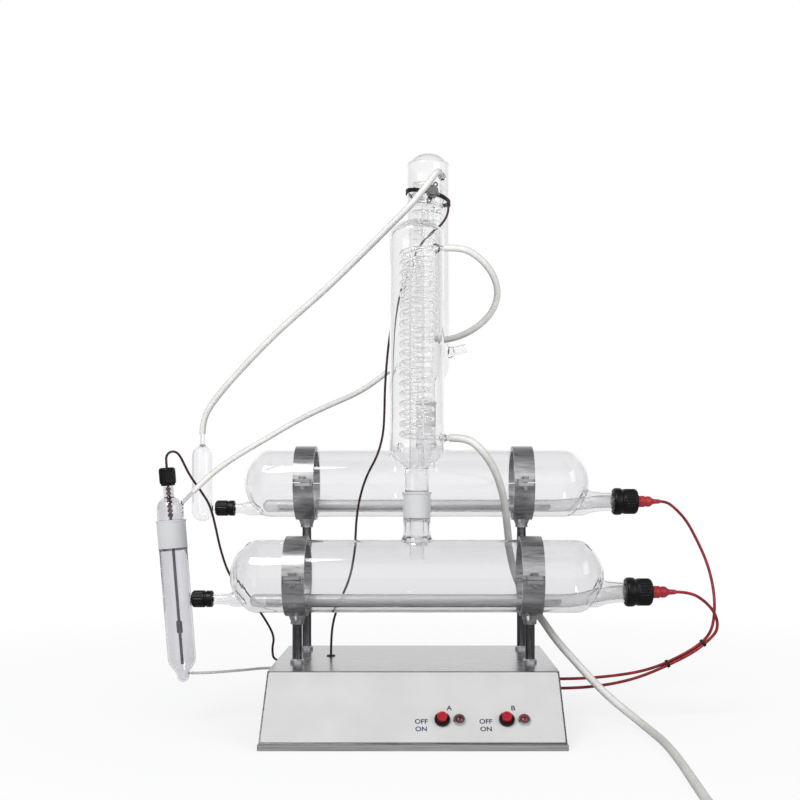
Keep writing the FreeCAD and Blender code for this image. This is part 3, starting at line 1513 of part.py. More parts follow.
save("electrode_rod", electrode())
save("level_bulb", level_bulb())
save("neck_seals", seals())
save("thermostat", thermostat())
save("thermostat_strap", strap())
save("hose_overflow",
     hose_between("hose_overflow", coil_seat("rear", 1), overflow_route, bulb_seat(), hose_radius))
save("hose_distillate", hose_between("hose_distillate", outlet_seat(), feed_route,
                                     hose_seat(*feed_arm(), feed_bare, feed_radius), feed_radius))
save("hose_link",
     hose_between("hose_link", coil_seat("front", 1), link_route, coil_seat("rear", 0), hose_radius))
save("hose_supply", supply_hose())
save("hose_supply_coil", supply_coil())
save("hose_level", level_hose())
for row in boilers:
    save("lead_heater_" + row, heater_lead(row))
save("lead_electrode", electrode_lead())
save("lead_thermostat", thermostat_lead())
save("tie_wraps", tie_wraps())
save("grommets", grommets())
save("cable_gland", gland())
save("control_board", board())
save("board_standoffs", standoffs())
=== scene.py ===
# %% [markdown]
# A glass water distiller for the laboratory bench. The real object boils water in two lying glass
# boilers, one in front and one behind and higher up, and cools the steam in two glass condensers that
# stand on them. A level vessel stands at the left, a bulb hangs on the overflow, and hoses and leads join
# it all to a sloped base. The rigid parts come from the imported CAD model, which this file takes as a
# fixed frame. It gives every part its finish, and makes anew what has to look soft, thin or wound: hoses,
# leads, glass coils, ribbed caps and labels.

# %% Load the frame
import json
import math

import bmesh
import bpy
import numpy as np
from mathutils import Matrix, Vector

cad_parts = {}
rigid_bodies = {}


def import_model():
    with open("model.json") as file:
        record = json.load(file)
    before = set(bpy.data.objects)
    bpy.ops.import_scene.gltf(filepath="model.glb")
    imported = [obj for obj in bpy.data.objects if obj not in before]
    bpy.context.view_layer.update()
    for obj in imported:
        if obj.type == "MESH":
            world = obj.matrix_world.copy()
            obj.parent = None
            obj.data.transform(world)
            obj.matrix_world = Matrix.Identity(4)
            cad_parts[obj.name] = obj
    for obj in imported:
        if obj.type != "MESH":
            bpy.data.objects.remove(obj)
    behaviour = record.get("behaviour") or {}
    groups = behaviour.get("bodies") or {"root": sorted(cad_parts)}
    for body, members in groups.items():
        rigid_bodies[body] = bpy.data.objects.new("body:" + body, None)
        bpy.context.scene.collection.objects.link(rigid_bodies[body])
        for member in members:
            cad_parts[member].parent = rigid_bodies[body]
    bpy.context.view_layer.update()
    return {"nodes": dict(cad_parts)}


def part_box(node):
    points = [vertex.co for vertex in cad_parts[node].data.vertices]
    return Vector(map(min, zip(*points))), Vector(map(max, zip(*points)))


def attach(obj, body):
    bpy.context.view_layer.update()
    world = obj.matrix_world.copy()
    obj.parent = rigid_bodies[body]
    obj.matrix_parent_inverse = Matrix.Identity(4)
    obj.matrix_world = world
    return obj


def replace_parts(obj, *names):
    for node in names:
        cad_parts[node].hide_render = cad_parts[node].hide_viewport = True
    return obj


for left_over in list(bpy.data.objects):
    bpy.data.objects.remove(left_over)
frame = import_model()
mm = 0.001
weld_reach = 1e-6
body = "stand"

# %% [markdown]
# The camera stands where the photograph's camera stood: level, about 1.3 m in front of the panel. The
# photograph is a crop, so its optical axis isn't in its middle. Tilting the camera would bring the object
# to its place too, but the posts would then lean. A shifted lens keeps them upright.

# %% Camera
image_side = 800
axis_pixel = (420.0, 491.7)
focal_pixels = 1043.6
eye_place = Vector((8.0, -1311.0, 290.7)) * mm
lens = bpy.data.cameras.new("camera")
lens.sensor_width = 36
lens.lens = focal_pixels * lens.sensor_width / image_side
lens.shift_x = (image_side / 2 - axis_pixel[0]) / image_side
lens.shift_y = (axis_pixel[1] - image_side / 2) / image_side
eye = bpy.data.objects.new("camera", lens)
eye.location = eye_place
eye.rotation_euler = (math.radians(90), 0, 0)
bpy.context.scene.collection.objects.link(eye)
bpy.context.scene.camera = eye
print("lens in mm:", round(lens.lens, 1))

# %% [markdown]
# Glass needs many bounces: a ray that looks through both condensers crosses some thirty surfaces. With
# too few bounces the inner tubes turn black.

# %% Bounces
bounce_limit = 40
for kind in ("max", "transmission", "transparent_max", "glossy"):
    setattr(bpy.context.scene.cycles, kind + "_bounces", bounce_limit)
bpy.context.scene.cycles.caustics_reflective = False
bpy.context.scene.cycles.caustics_refractive = False
bpy.context.scene.view_settings.view_transform = "Standard"

# %% [markdown]
# A material is a small graph of nodes. One function adds a node, sets it and joins its inputs, and
# another one turns a colour written as on a paint card, in sRGB hex, to the linear light that the
# renderer computes with. Nearly every real surface varies a little, so one more function lays a noise
# over the object, measured in real metres, and gives it back spread out over the runs of values that a
# material asks for. Shade, gloss and relief that follow one noise belong together, as they do on metal.

# %% Colour and node helpers


def linear(hex_colour):
    """An sRGB channel c becomes c / 12.92 below 0.04045, and ((c + 0.055) / 1.055) ** 2.4 above."""
    channels = [int(hex_colour[k:k + 2], 16) / 255 for k in (1, 3, 5)]
    return tuple(c / 12.92 if c <= 0.04045 else ((c + 0.055) / 1.055) ** 2.4 for c in channels) + (1.0,)


def add(tree, kind, inputs=None, **settings):
    """Add a node; an input is a value, or another node's output to link."""
    node = tree.nodes.new("ShaderNode" + kind)
    for key, value in settings.items():
        setattr(node, key, value)
    for key, value in (inputs or {}).items():
        socket = node.inputs[key]
        if isinstance(value, bpy.types.NodeSocket):
            tree.links.new(value, socket)
        else:
            socket.default_value = value
    return node


def new_material(name):
    made = bpy.data.materials.new(name)
    made.use_nodes = True
    made.node_tree.nodes.clear()
    return made, made.node_tree


noise_low, noise_high = 0.35, 0.65


def pattern(tree, scale, runs=(), stretch=(1, 1, 1), detail=4.0, rough=0.55):
    """Noise with about scale features in a metre, times the stretch along each axis.

    Returns the noise, and then for each (low, high) in runs the noise spread out from low to high.
    """
    place = add(tree, "TexCoord").outputs["Object"]
    sized = add(tree, "Mapping", {"Vector": place, "Scale": stretch}).outputs[0]
    noise = add(tree, "TexNoise", {"Vector": sized, "Scale": scale, "Detail": detail, "Roughness": rough})
    made = [noise.outputs["Fac"]]
    for low, high in runs:
        run = add(tree, "MapRange", {"Value": made[0], "From Min": noise_low, "From Max": noise_high,
                                     "To Min": low, "To Max": high})
        made.append(run.outputs[0])
    return made


print("white is", linear("#ffffff"))

# %% [markdown]
# New surfaces are worked out as whole arrays of points. A grid of points in two parameters becomes a mesh
# of quadrilaterals. Where a grid closes on itself its last row joins its first, and where it runs to a
# pole the doubled points there are merged.

# %% Mesh from a grid of points


def grid_mesh(name, points, closed_rows=False, sharp=40):
    """Face (i, j) joins points (i, j), (i + 1, j), (i + 1, j + 1) and (i, j + 1), in closed columns."""
    rows, columns = points.shape[:2]
    number = np.arange(rows * columns).reshape(rows, columns)
    if closed_rows:
        number = np.vstack([number, number[:1]])
    number = np.hstack([number, number[:, :1]])
    faces = np.stack([number[:-1, :-1], number[1:, :-1], number[1:, 1:], number[:-1, 1:]], axis=-1)
    return mesh_object(name, points.reshape(-1, 3), faces.reshape(-1, 4).tolist(), sharp)


def mesh_object(name, points, faces, sharp=40):
    """Build the object, merge doubled points, turn the faces outwards and keep only hard edges sharp."""
    mesh = bpy.data.meshes.new(name)
    mesh.from_pydata([tuple(p) for p in points], [], faces)
    build = bmesh.new()
    build.from_mesh(mesh)
    bmesh.ops.remove_doubles(build, verts=build.verts, dist=weld_reach)
    bmesh.ops.recalc_face_normals(build, faces=build.faces)
    build.to_mesh(mesh)
    build.free()
    mesh.shade_smooth()
    mesh.set_sharp_from_angle(angle=math.radians(sharp))
    made = bpy.data.objects.new(name, mesh)
    bpy.context.scene.collection.objects.link(made)
    return made


def axes_of(way):
    """Two directions that make a right-handed frame with a direction."""
    way = np.array(way, float) / np.linalg.norm(way)
    helper = np.array([0.0, 0.0, 1.0]) if abs(way[2]) < 0.9 else np.array([1.0, 0.0, 0.0])
    side = np.cross(helper, way)
    side /= np.linalg.norm(side)
    return side, np.cross(way, side), way


def rounded(profile, radius, steps=4):
    """Each corner of a line of (radius, height) points becomes a quadratic curve of a few points."""
    made = [profile[0]]
    for before, corner, after in zip(profile, profile[1:], profile[2:]):
        before, corner, after = (np.array(p, float) for p in (before, corner, after))
        back, ahead = before - corner, after - corner
        reach = min(radius, 0.45 * np.linalg.norm(back), 0.45 * np.linalg.norm(ahead))
        first = corner + back / np.linalg.norm(back) * reach
        last = corner + ahead / np.linalg.norm(ahead) * reach
        share = np.linspace(0, 1, steps + 1)[:, None]
        made += list((1 - share) ** 2 * first + 2 * share * (1 - share) * corner + share ** 2 * last)
    made.append(profile[-1])
    return np.array([tuple(p) for p in made], float)


def lathe(name, profile, start, way, steps, ripple, sharp):
    """Point (r, h) at angle a lies at start + h * way + r * ripple(a, h) * (side * cos a + up * sin a)."""
    side, up, along = axes_of(way)
    profile = np.array(profile, float) * mm
    angle = np.linspace(0, 2 * math.pi, steps, endpoint=False)
    radius = np.repeat(profile[:, :1], steps, axis=1)
    height = np.repeat(profile[:, 1:], steps, axis=1)
    radius = radius * ripple(angle[None, :], height / mm, radius / mm)
    turn = side * np.cos(angle)[:, None] + up * np.sin(angle)[:, None]
    points = np.array(start) * mm + height[..., None] * along + radius[..., None] * turn[None]
    return grid_mesh(name, points, sharp=sharp)


def show(made, finish, rides=body):
    """Give a new piece its finish and the CAD body it rides on."""
    made.data.materials.clear()
    made.data.materials.append(finish)
    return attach(made, rides)


print("helpers ready")

# %% [markdown]
# Hoses and leads are flexible lengths that hang and lie under their own weight. Each follows the same
# points as its CAD solid, in millimetres, as the control points of one smooth NURBS curve.
# Their ends go onto a nozzle, into a cap or boot, or into the base. Only the supply hose has a free end.

# %% Routes of the hoses and leads
routes = {
    "hose_overflow": [
        (34.7, 71.9, 711.8), (32.8, 50.0, 711.8), (20.5, 46.0, 694.0), (-3.7, 44.5, 663.0),
        (-28.4, 45.5, 638.8), (-62.3, 48.0, 605.4), (-115.1, 56.0, 556.2), (-150.3, 63.5, 527.5),
        (-185.5, 72.0, 498.4), (-229.9, 84.0, 456.0), (-262.6, 95.0, 422.5), (-287.0, 104.7, 391.0),
        (-287.0, 104.7, 369.0)],
    "hose_distillate": [
        (-34.8, 99.0, 453.6), (-51.6, 97.3, 439.5), (-77.9, 90.0, 422.0), (-114.4, 77.0, 405.0),
        (-154.9, 60.0, 383.6), (-194.2, 42.0, 357.7), (-224.8, 24.0, 337.6), (-244.8, 8.0, 321.5),
        (-260.1, -6.0, 306.3), (-275.6, -6.0, 290.8)],
    "hose_link": [
        (37.8, -30.7, 589.6), (59.4, -34.5, 589.6), (79.4, -26.0, 580.5), (94.9, -16.0, 567.0),
        (104.5, -3.0, 551.0), (106.1, 10.0, 534.6), (98.8, 24.0, 518.0), (84.3, 37.0, 505.0),
        (68.0, 47.0, 496.4), (50.5, 57.8, 491.0), (32.9, 71.1, 491.0)],
    "hose_supply": [
        (45.6, -1.5, 358.0), (66.3, -9.0, 358.0), (82.9, -10.0, 345.3), (98.7, 4.0, 325.6),
        (110.2, 22.0, 301.8), (118.2, 42.0, 273.5), (122.8, 58.0, 240.5), (126.8, 67.0, 209.8),
        (133.7, 70.0, 179.1), (142.6, 66.0, 158.4), (154.3, 52.0, 141.4), (166.0, 30.0, 124.6),
        (180.4, 12.0, 102.7), (200.5, 2.0, 80.2), (220.9, -4.0, 57.4), (245.4, -14.0, 33.1),
        (267.5, -34.0, 16.5), (281.0, -64.0, 7.0), (286.0, -104.0, 5.2), (286.2, -152.0, 5.2),
        (283.5, -204.0, 5.2), (280.0, -256.0, 5.2), (276.0, -306.0, 5.2), (273.0, -348.0, 5.2),
        (272.0, -388.0, 5.2)],
    "hose_level": [
        (-277.9, -6.0, 64.0), (-262.0, -6.0, 64.0), (-242.0, 5.0, 63.6), (-215.0, 27.0, 62.4),
        (-195.0, 50.0, 61.0), (-167.6, 50.0, 61.0)],
    "lead_heater_front": [
        (327.5, -6.0, 165.3), (345.9, -6.0, 165.1), (365.5, -2.0, 153.6), (380.7, 3.0, 136.7),
        (385.2, 9.0, 116.5), (375.5, 13.1, 103.3), (361.5, 14.1, 91.3), (347.0, 14.3, 82.3),
        (332.1, 15.9, 74.4), (315.1, 16.4, 66.4), (292.0, 17.3, 56.5), (265.4, 19.0, 48.2),
        (232.5, 20.5, 42.3), (198.0, 20.0, 40.0), (167.6, 20.0, 40.0)],
    "lead_heater_rear": [
        (332.5, 104.7, 277.5), (342.0, 104.7, 277.5), (354.0, 102.5, 268.0), (367.3, 96.0, 252.0),
        (379.3, 88.0, 226.0), (389.4, 76.0, 197.3), (393.5, 62.0, 168.0), (392.1, 48.0, 142.0),
        (384.5, 30.0, 118.5), (373.5, 15.9, 105.7), (359.5, 16.9, 93.7), (345.5, 18.5, 84.6),
        (330.9, 18.5, 77.2), (313.9, 19.2, 69.2), (288.0, 20.2, 61.0), (258.0, 20.0, 56.3),
        (224.0, 20.3, 53.0), (194.5, 20.0, 52.0), (167.6, 20.0, 52.0)],
    "lead_electrode": [
        (-308.4, -6.0, 317.1), (-309.2, -6.0, 326.5), (-309.6, -6.0, 335.0), (-305.2, -5.9, 340.6),
        (-298.2, -5.4, 341.2), (-293.0, -4.0, 336.5), (-288.5, -0.5, 326.0), (-281.8, 4.0, 310.5),
        (-270.0, 12.0, 292.0), (-260.6, 24.0, 273.7), (-256.2, 34.0, 249.1), (-251.7, 44.0, 217.6),
        (-243.1, 54.0, 184.4), (-227.5, 62.0, 158.7), (-209.0, 70.0, 139.5), (-195.9, 80.0, 117.0),
        (-187.0, 88.0, 96.0), (-191.0, 91.0, 79.0), (-188.0, 92.0, 62.0), (-167.6, 92.0, 62.0)],
    "lead_thermostat": [
        (34.5, 67.9, 683.6), (41.6, 66.0, 680.7), (45.8, 65.5, 670.5), (44.9, 63.0, 656.0),
        (36.5, 58.5, 641.0), (14.5, 52.0, 620.7), (0.2, 49.0, 597.8), (-11.0, 48.2, 575.0),
        (-20.5, 47.8, 547.0), (-27.5, 48.0, 518.0), (-32.4, 48.2, 488.2), (-35.6, 48.0, 456.0),
        (-37.8, 47.8, 424.0), (-38.3, 48.0, 392.0), (-40.0, 48.2, 364.0), (-47.5, 48.0, 337.0),
        (-61.5, 49.0, 312.0), (-70.0, 49.6, 286.0), (-75.0, 50.2, 256.0), (-76.3, 51.0, 227.7),
        (-78.5, 51.2, 204.0), (-83.0, 51.0, 180.0), (-90.5, 50.5, 160.0), (-98.5, 49.6, 142.0),
        (-105.3, 48.2, 122.0), (-107.8, 47.0, 97.0), (-107.8, 47.0, 71.0)],
}
print({name: len(points) for name, points in routes.items()})

# %% [markdown]
# The supply hose is longer than the photograph shows. Its unseen length lies on the bench in front of the
# base as a flat coil of two turns, outside the camera's view: one turn winds in, and the next one lies on
# top and winds out. The turns are more points of the hose's own curve, worked out by a loop. The curve
# runs inside its control points: beside each of them it reaches only 3/4 + 1/4 cos(step) of their radius,
# called hug here, so they are placed that much further out.

# %% Put-away turns of the supply hose
turn_count = 2.0
turn_outer = 57.5
turn_step = 11.0
turn_layer = 10.3
turn_ahead = 75.0
climb_turns = 0.5
straight_tail = 9.6
points_a_turn = 16
hug = 0.75 + 0.25 * math.cos(2 * math.pi / points_a_turn)


def floor_turns(foot):
    """Radius shrinks by a step a turn to the middle and grows again; the height changes half way."""
    centre = np.array(foot) + (-turn_outer, -turn_ahead, 0.0)
    middle = turn_count / 2
    places = []
    for step in range(int(turn_count * points_a_turn) + 1):
        turn = step / points_a_turn
        radius = (turn_outer - turn_step * (middle - abs(turn - middle))) / hug
        climb = min(max((turn - middle) / climb_turns + 0.5, 0), 1)
        angle = -2 * math.pi * turn
        offset = (radius * math.cos(angle), radius * math.sin(angle), turn_layer * climb)
        places.append(tuple(centre + offset))
    places.append(tuple(np.array(places[-1]) - (0.0, straight_tail, 0.0)))
    return places


routes["hose_supply"] += floor_turns(routes["hose_supply"][-1])
print("points of the supply hose:", len(routes["hose_supply"]))

# %% [markdown]
# A hose could be a mesh swept along its route. A curve with a round bevel is kept instead, because it
# stays smooth between few points and its length can be measured on its own line. The lengths stand for
# the real hoses, and the cell prints what each curve measures beside them.

# %% Cord curves
cord_radius = {"hose_supply": 4.8, "hose_overflow": 4.1, "hose_link": 4.1, "hose_distillate": 3.5,
               "hose_level": 1.7, "lead_heater_front": 1.9, "lead_heater_rear": 1.9, "lead_electrode": 1.5,
               "lead_thermostat": 1.5}
cord_length = {"hose_supply": 1576, "hose_overflow": 500, "hose_link": 221, "hose_distillate": 314,
               "hose_level": 130, "lead_heater_front": 324, "lead_heater_rear": 441, "lead_electrode": 373,
               "lead_thermostat": 651}


def cord_curve(name, points, radius):
    """A NURBS curve of order 3 that starts and ends at its first and last point."""
    made = bpy.data.curves.new(name + "_line", "CURVE")
    made.dimensions = "3D"
    made.resolution_u = 10
    made.bevel_depth = radius * mm
    made.bevel_resolution = 6
    made.use_fill_caps = True
    line = made.splines.new("NURBS")
    line.points.add(len(points) - 1)
    weighted = np.hstack([np.array(points, float) * mm, np.ones((len(points), 1))])
    line.points.foreach_set("co", weighted.ravel())
    line.order_u = 3
    line.use_endpoint_u = True
    placed = bpy.data.objects.new(name + "_line", made)
    bpy.context.scene.collection.objects.link(placed)
    return placed


def line_length(placed):
    """Length of the curve itself, added up over the points of its mesh when it has no thickness."""
    depth = placed.data.bevel_depth
    placed.data.bevel_depth = 0
    mesh = bpy.data.meshes.new_from_object(placed)
    placed.data.bevel_depth = depth
    points = np.array([v.co for v in mesh.vertices])
    return np.linalg.norm(np.diff(points, axis=0), axis=1).sum()


cords = {name: cord_curve(name, points, cord_radius[name]) for name, points in routes.items()}
for name, placed in cords.items():
    print(name, "is", round(line_length(placed) / mm), "mm long, of", cord_length[name])

# %% [markdown]
# Finishes of the hoses. Milky silicone tube is palest where the eye looks straight at it, and greyer at
# its edges, where it looks through more wall. That grey is painted shade: light scattered inside the wall
# would give it, but slowly and with much noise, so the angle to the eye paints the shade instead. Faint
# clouds of 17 mm come from the extruder. The heater leads have red silicone insulation, rubbed in patches
# of about 11 mm where it has been handled. The leads of the electrode and the thermostat have a thin dark
# PTFE skin.

# %% Hose and lead materials


def silicone_tube():
    """Milky silicone rubber, extruded: soft gloss, faint clouds, and painted shade that greys its edges."""
    made, tree = new_material("milky_silicone_tube")
    # Painted shade: the tube greys towards its edges by its angle to the eye. The faint clouds added to it
    # are the tube's own tone.
    edge = add(tree, "LayerWeight", {"Blend": 0.35}).outputs["Facing"]
    clouds = pattern(tree, 60, [(-0.08, 0.08)])[1]
    depth = add(tree, "Math", {0: edge, 1: clouds}, operation="ADD").outputs[0]
    shade = add(tree, "Mix", {0: depth, 6: linear("#fbfaf6"), 7: linear("#aaa79f")}, data_type="RGBA")
    shader = add(tree, "BsdfPrincipled", {
        "Base Color": shade.outputs[2], "Roughness": 0.38, "IOR": 1.41, "Coat Weight": 0.15,
        "Coat Roughness": 0.2})
    add(tree, "OutputMaterial", {"Surface": shader.outputs[0]})
    return made


def clear_tube():
    """Clear PVC tube of 3 mm, which shows as a pale line."""
    made, tree = new_material("clear_pvc_tube")
    shader = add(tree, "BsdfPrincipled", {
        "Base Color": linear("#dfe0e2"), "Roughness": 0.2, "IOR": 1.53, "Transmission Weight": 0.45})
    add(tree, "OutputMaterial", {"Surface": shader.outputs[0]})
    return made


def lead_insulation(name, dark, light, gloss):
    """Wire insulation, extruded: an even colour with slightly rubbed patches."""
    made, tree = new_material(name)
    rubbed = pattern(tree, 90, [(0, 1)], detail=3)[1]
    shade = add(tree, "Mix", {0: rubbed, 6: linear(dark), 7: linear(light)}, data_type="RGBA")
    worn = pattern(tree, 240, [(gloss, gloss + 0.15)])[1]
    shader = add(tree, "BsdfPrincipled", {"Base Color": shade.outputs[2], "Roughness": worn, "IOR": 1.45})
    add(tree, "OutputMaterial", {"Surface": shader.outputs[0]})
    return made


milky = silicone_tube()
red_lead = lead_insulation("red_silicone_insulation", "#7c1620", "#a81f28", 0.3)
dark_lead = lead_insulation("dark_ptfe_insulation", "#2b1214", "#4a2023", 0.35)
cord_finish = {"hose_level": (clear_tube(), "hose_clear"),
               "lead_heater_front": (red_lead, "lead_red"), "lead_heater_rear": (red_lead, "lead_red"),
               "lead_electrode": (dark_lead, "lead_dark"), "lead_thermostat": (dark_lead, "lead_dark")}
for name, placed in cords.items():
    material, slot = cord_finish.get(name, (milky, "hose_white"))
    show(placed, material)
    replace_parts(placed, name)
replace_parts(cords["hose_supply"], "hose_supply_coil")
print("materials:", len(bpy.data.materials))

# %% [markdown]
# The CAD meshes come with normals of their own for every CAD face. Glass needs one smooth surface, or
# each seam shows in the refraction. The stored normals go, a weld joins the doubled points of
# neighbouring faces, and an edge split keeps real edges sharp. As modifiers they leave the CAD mesh
# itself as it is. Ground joints and the electrode's sleeve are bands on a longer piece, so one more
# function marks a band by its distance along a direction.

# %% Finish of a CAD part


def finish(nodes, material, crease=30):
    """Give CAD nodes a material, weld their seams and keep edges above a crease angle sharp."""
    for node in nodes:
        part = frame["nodes"][node]
        stored = part.data.attributes.get("custom_normal")
        if stored is not None:
            part.data.attributes.remove(stored)
        part.data.shade_smooth()
        part.modifiers.new("weld", "WELD").merge_threshold = weld_reach
        part.modifiers.new("split", "EDGE_SPLIT").split_angle = math.radians(crease)
        part.data.materials.clear()
        part.data.materials.append(material)


def band(tree, way, start, low, high):
    """1 at distances from low to high, measured from start along way in millimetres, and 0 elsewhere."""
    place = add(tree, "TexCoord").outputs["Object"]
    lane = add(tree, "VectorMath", {0: place, 1: way}, operation="DOT_PRODUCT").outputs["Value"]
    offset = sum(w * s for w, s in zip(way, start)) * mm
    distance = add(tree, "Math", {0: lane, 1: offset}, operation="SUBTRACT").outputs[0]
    middle, half = (low + high) / 2 * mm, (high - low) / 2 * mm
    return add(tree, "Math", {0: distance, 1: middle, 2: half}, operation="COMPARE").outputs[0]


print("CAD nodes:", len(frame["nodes"]))

# %% [markdown]
# Blown borosilicate glass. The walls are real shells, so one refractive index does the work: two surfaces
# bend the light at the outside and two inside. A solid block of glass would look like a lens, and a
# transparent film would show no thick edges. Blowing leaves slow waves of about 29 mm in the wall. The
# ground joints were cut with grit: their band scatters light and looks white. Real grit is finer than a
# tenth of a millimetre and would not show, so it is drawn 0.7 mm coarse. A shadow ray goes straight
# through, because caustics are off.

# %% Glass


def pass_shadows(tree, shader, tint):
    """A shadow ray goes through a tinted filter, and every other ray meets the shader."""
    clear = add(tree, "BsdfTransparent", {"Color": linear(tint)}).outputs[0]
    shadow = add(tree, "LightPath").outputs["Is Shadow Ray"]
    surface = add(tree, "MixShader", {0: shadow, 1: shader, 2: clear})
    add(tree, "OutputMaterial", {"Surface": surface.outputs[0]})


def glass(name, tint, ground=None, waves=0.2):
    """Borosilicate glass with an optional ground band, given as direction, start, low and high."""
    made, tree = new_material(name)
    ripples = pattern(tree, 35, detail=1)[0]
    wall = add(tree, "Bump", {"Height": ripples, "Distance": 0.6 * mm, "Strength": waves})
    inputs = {"Base Color": linear(tint), "Roughness": 0.0, "IOR": 1.47, "Transmission Weight": 1.0,
              "Normal": wall.outputs[0]}
    if ground:
        mask = band(tree, *ground)
        inputs["Roughness"] = add(tree, "Math", {0: mask, 1: 0.3}, operation="MULTIPLY").outputs[0]
    shader = add(tree, "BsdfPrincipled", inputs).outputs[0]
    if ground:
        grit = pattern(tree, 1500, [(0.5, 0.7)], detail=2)[1]
        share = add(tree, "Math", {0: mask, 1: grit}, operation="MULTIPLY").outputs[0]
        frost = add(tree, "BsdfDiffuse", {"Color": linear("#fcfcfc")}).outputs[0]
        shader = add(tree, "MixShader", {0: share, 1: shader, 2: frost}).outputs[0]
    pass_shadows(tree, shader, tint)
    return made


# %% [markdown]
# The glass stands in two rows, and much of what follows is placed from them. Each row has its boiler's
# axis, at a depth y and a height z, and for each cap the place across and the drop below that axis. The
# level vessel leans a little. Its own axis starts at its tip, and is level_x across where it passes the
# height of the front inlet cap.

# %% Two rows and the level vessel
rows = {
    "front": {"y": -6.0, "z": 185.3, "heater_cap": (264.0, 20.0), "inlet_cap": (-277.0, 28.5),
              "boiler_tint": "#f3f3f4"},
    "rear": {"y": 104.7, "z": 302.5, "heater_cap": (269.0, 25.0), "inlet_cap": (-269.0, 34.0),
             "boiler_tint": "#f7f7f8"},
}
front = rows["front"]
level_lean = math.radians(4.57)
level_x, level_tip = -295.6, 53.0
level_rise = front["z"] - front["inlet_cap"][1] - level_tip
level_start = (level_x + level_rise * math.tan(level_lean), front["y"], level_tip)
level_way = (-math.sin(level_lean), 0.0, math.cos(level_lean))
print("level vessel starts at", [round(v, 1) for v in level_start])

# %% Glass pieces
ground_reach = (73, 105)
level_frost = (168, 203)
for row, spec in rows.items():
    joint = ((0, 0, 1), (0, 0, 0), *(spec["z"] + rise for rise in ground_reach))
    finish(["boiler_" + row], glass("blown_glass_" + row, spec["boiler_tint"], joint))
    finish(["condenser_jacket_" + row], glass("jacket_glass_" + row, "#fcfcfc", joint))
level_joint = (level_way, level_start, *level_frost)
finish(["level_tube", "level_head"], glass("level_glass", "#e9e9eb", level_joint))
finish(["level_bulb"], glass("bulb_glass", "#fcfcfd"))
coil_glass = glass("coil_glass", "#fbfbfb", waves=0.0)
print("glass pieces ready")

# %% [markdown]
# The heaters' sheaths are fused quartz, drawn to a tube. Drawing leaves faint lines along the tube, less
# than a millimetre apart on a real one and drawn 1.7 mm apart here. A little roughness blurs the winding
# inside, so that the heater shows as an even grey band.

# %% Quartz


def quartz():
    """Fused quartz sheath, drawn: nearly clear, a little rough, with a faint film in lengthwise lines."""
    made, tree = new_material("grey_quartz")
    lines = pattern(tree, 600, [(0, 1)], stretch=(0.02, 1, 1), detail=2)[1]
    film = add(tree, "Mix", {0: lines, 6: linear("#fafafa"), 7: linear("#ffffff")}, data_type="RGBA")
    shader = add(tree, "BsdfPrincipled", {"Base Color": film.outputs[2], "Roughness": 0.18, "IOR": 1.46,
                                          "Transmission Weight": 0.9})
    pass_shadows(tree, shader.outputs[0], "#eeeef0")
    return made


finish(["heater_tubes"], quartz())
print("quartz ready")

# %% [markdown]
# Metals. Each one's look comes from how its surface was made: sheet brushed along its width, posts turned
# and polished, clamps rolled and bent from strip, fasteners zinc plated. Their streaks run the way the
# tool went. A picture of brushed steel could be laid on, but a stretched noise has no seams and no edge
# to hide. Real brush and turning marks are about a tenth of a millimetre apart and would not show, so
# they are drawn 1 to 4 mm apart.

# %% Metals


def metal(name, dark, light, gloss, streak=(1, 1, 1), scale=400, depth=0.02 * mm, lean=0.0):
    """Metal with two shades and a roughness that follow one grain, and a fine relief of the same grain."""
    made, tree = new_material(name)
    grain, mix, worn = pattern(tree, scale, [(0, 1), (gloss, gloss + 0.12)], streak, 5, 0.65)
    shade = add(tree, "Mix", {0: mix, 6: linear(dark), 7: linear(light)}, data_type="RGBA")
    marks = add(tree, "Bump", {"Height": grain, "Distance": depth, "Strength": 0.4})
    shader = add(tree, "BsdfPrincipled", {
        "Base Color": shade.outputs[2], "Metallic": 1.0, "Roughness": worn, "Anisotropic": lean,
        "Normal": marks.outputs[0]})
    add(tree, "OutputMaterial", {"Surface": shader.outputs[0]})
    return made


sheet_steel = metal("brushed_sheet_steel", "#9a9a9b", "#c6c6c7", 0.2, (0.02, 1, 1), 900)
tray_steel = metal("satin_tray_steel", "#c4c4c5", "#dcdcdc", 0.35, (0.02, 1, 1), 700)
post_steel = metal("polished_turned_steel", "#5f5c5f", "#787578", 0.12, (1, 1, 0.15), 500)
strip_steel = metal("rolled_strip", "#a6a5a7", "#cdcccd", 0.27, (0.1, 1, 1), 300, lean=0.4)
zinc = metal("zinc_plate", "#8d8e92", "#b7b8bb", 0.24, scale=500)
chrome = metal("chrome_plate", "#c5c3c4", "#dedcdc", 0.08, scale=300, depth=0.01 * mm)
pressed = metal("pressed_aluminium", "#77767a", "#9b9a9d", 0.35, scale=260)
heater_wire = metal("bright_heater_wire", "#e6e5e4", "#f8f7f6", 0.5)
brass = metal("turned_brass", "#8a6d3a", "#b59555", 0.3)
finish(["base_housing"], sheet_steel)
finish(["base_tray"], tray_steel)
finish(["posts_front", "posts_rear"], post_steel)
finish(["clamps_upper_front", "clamps_upper_rear", "clamps_lower_front", "clamps_lower_rear"], strip_steel)
finish(["clamp_bolts", "clamp_nuts"], zinc)
finish(["lamp_bezels"], chrome)
finish(["thermostat"], pressed)
finish(["board_standoffs"], brass)
print("metals ready")

# %% [markdown]
# Plastics, rubber and paint. The panel is powder coated: the paint flows out with a slight orange peel of
# about two millimetres, on patches of some 80 mm that differ very little. The caps are pressed phenolic,
# black and a little glossier in patches where hands have held them. One function serves them all, since
# each is a coloured body under a skin: what differs is how glossy it is, how fine its skin, and whether
# a clear coat lies on top.

# %% Paint, plastics and rubber
skin_relief = 0.03 * mm


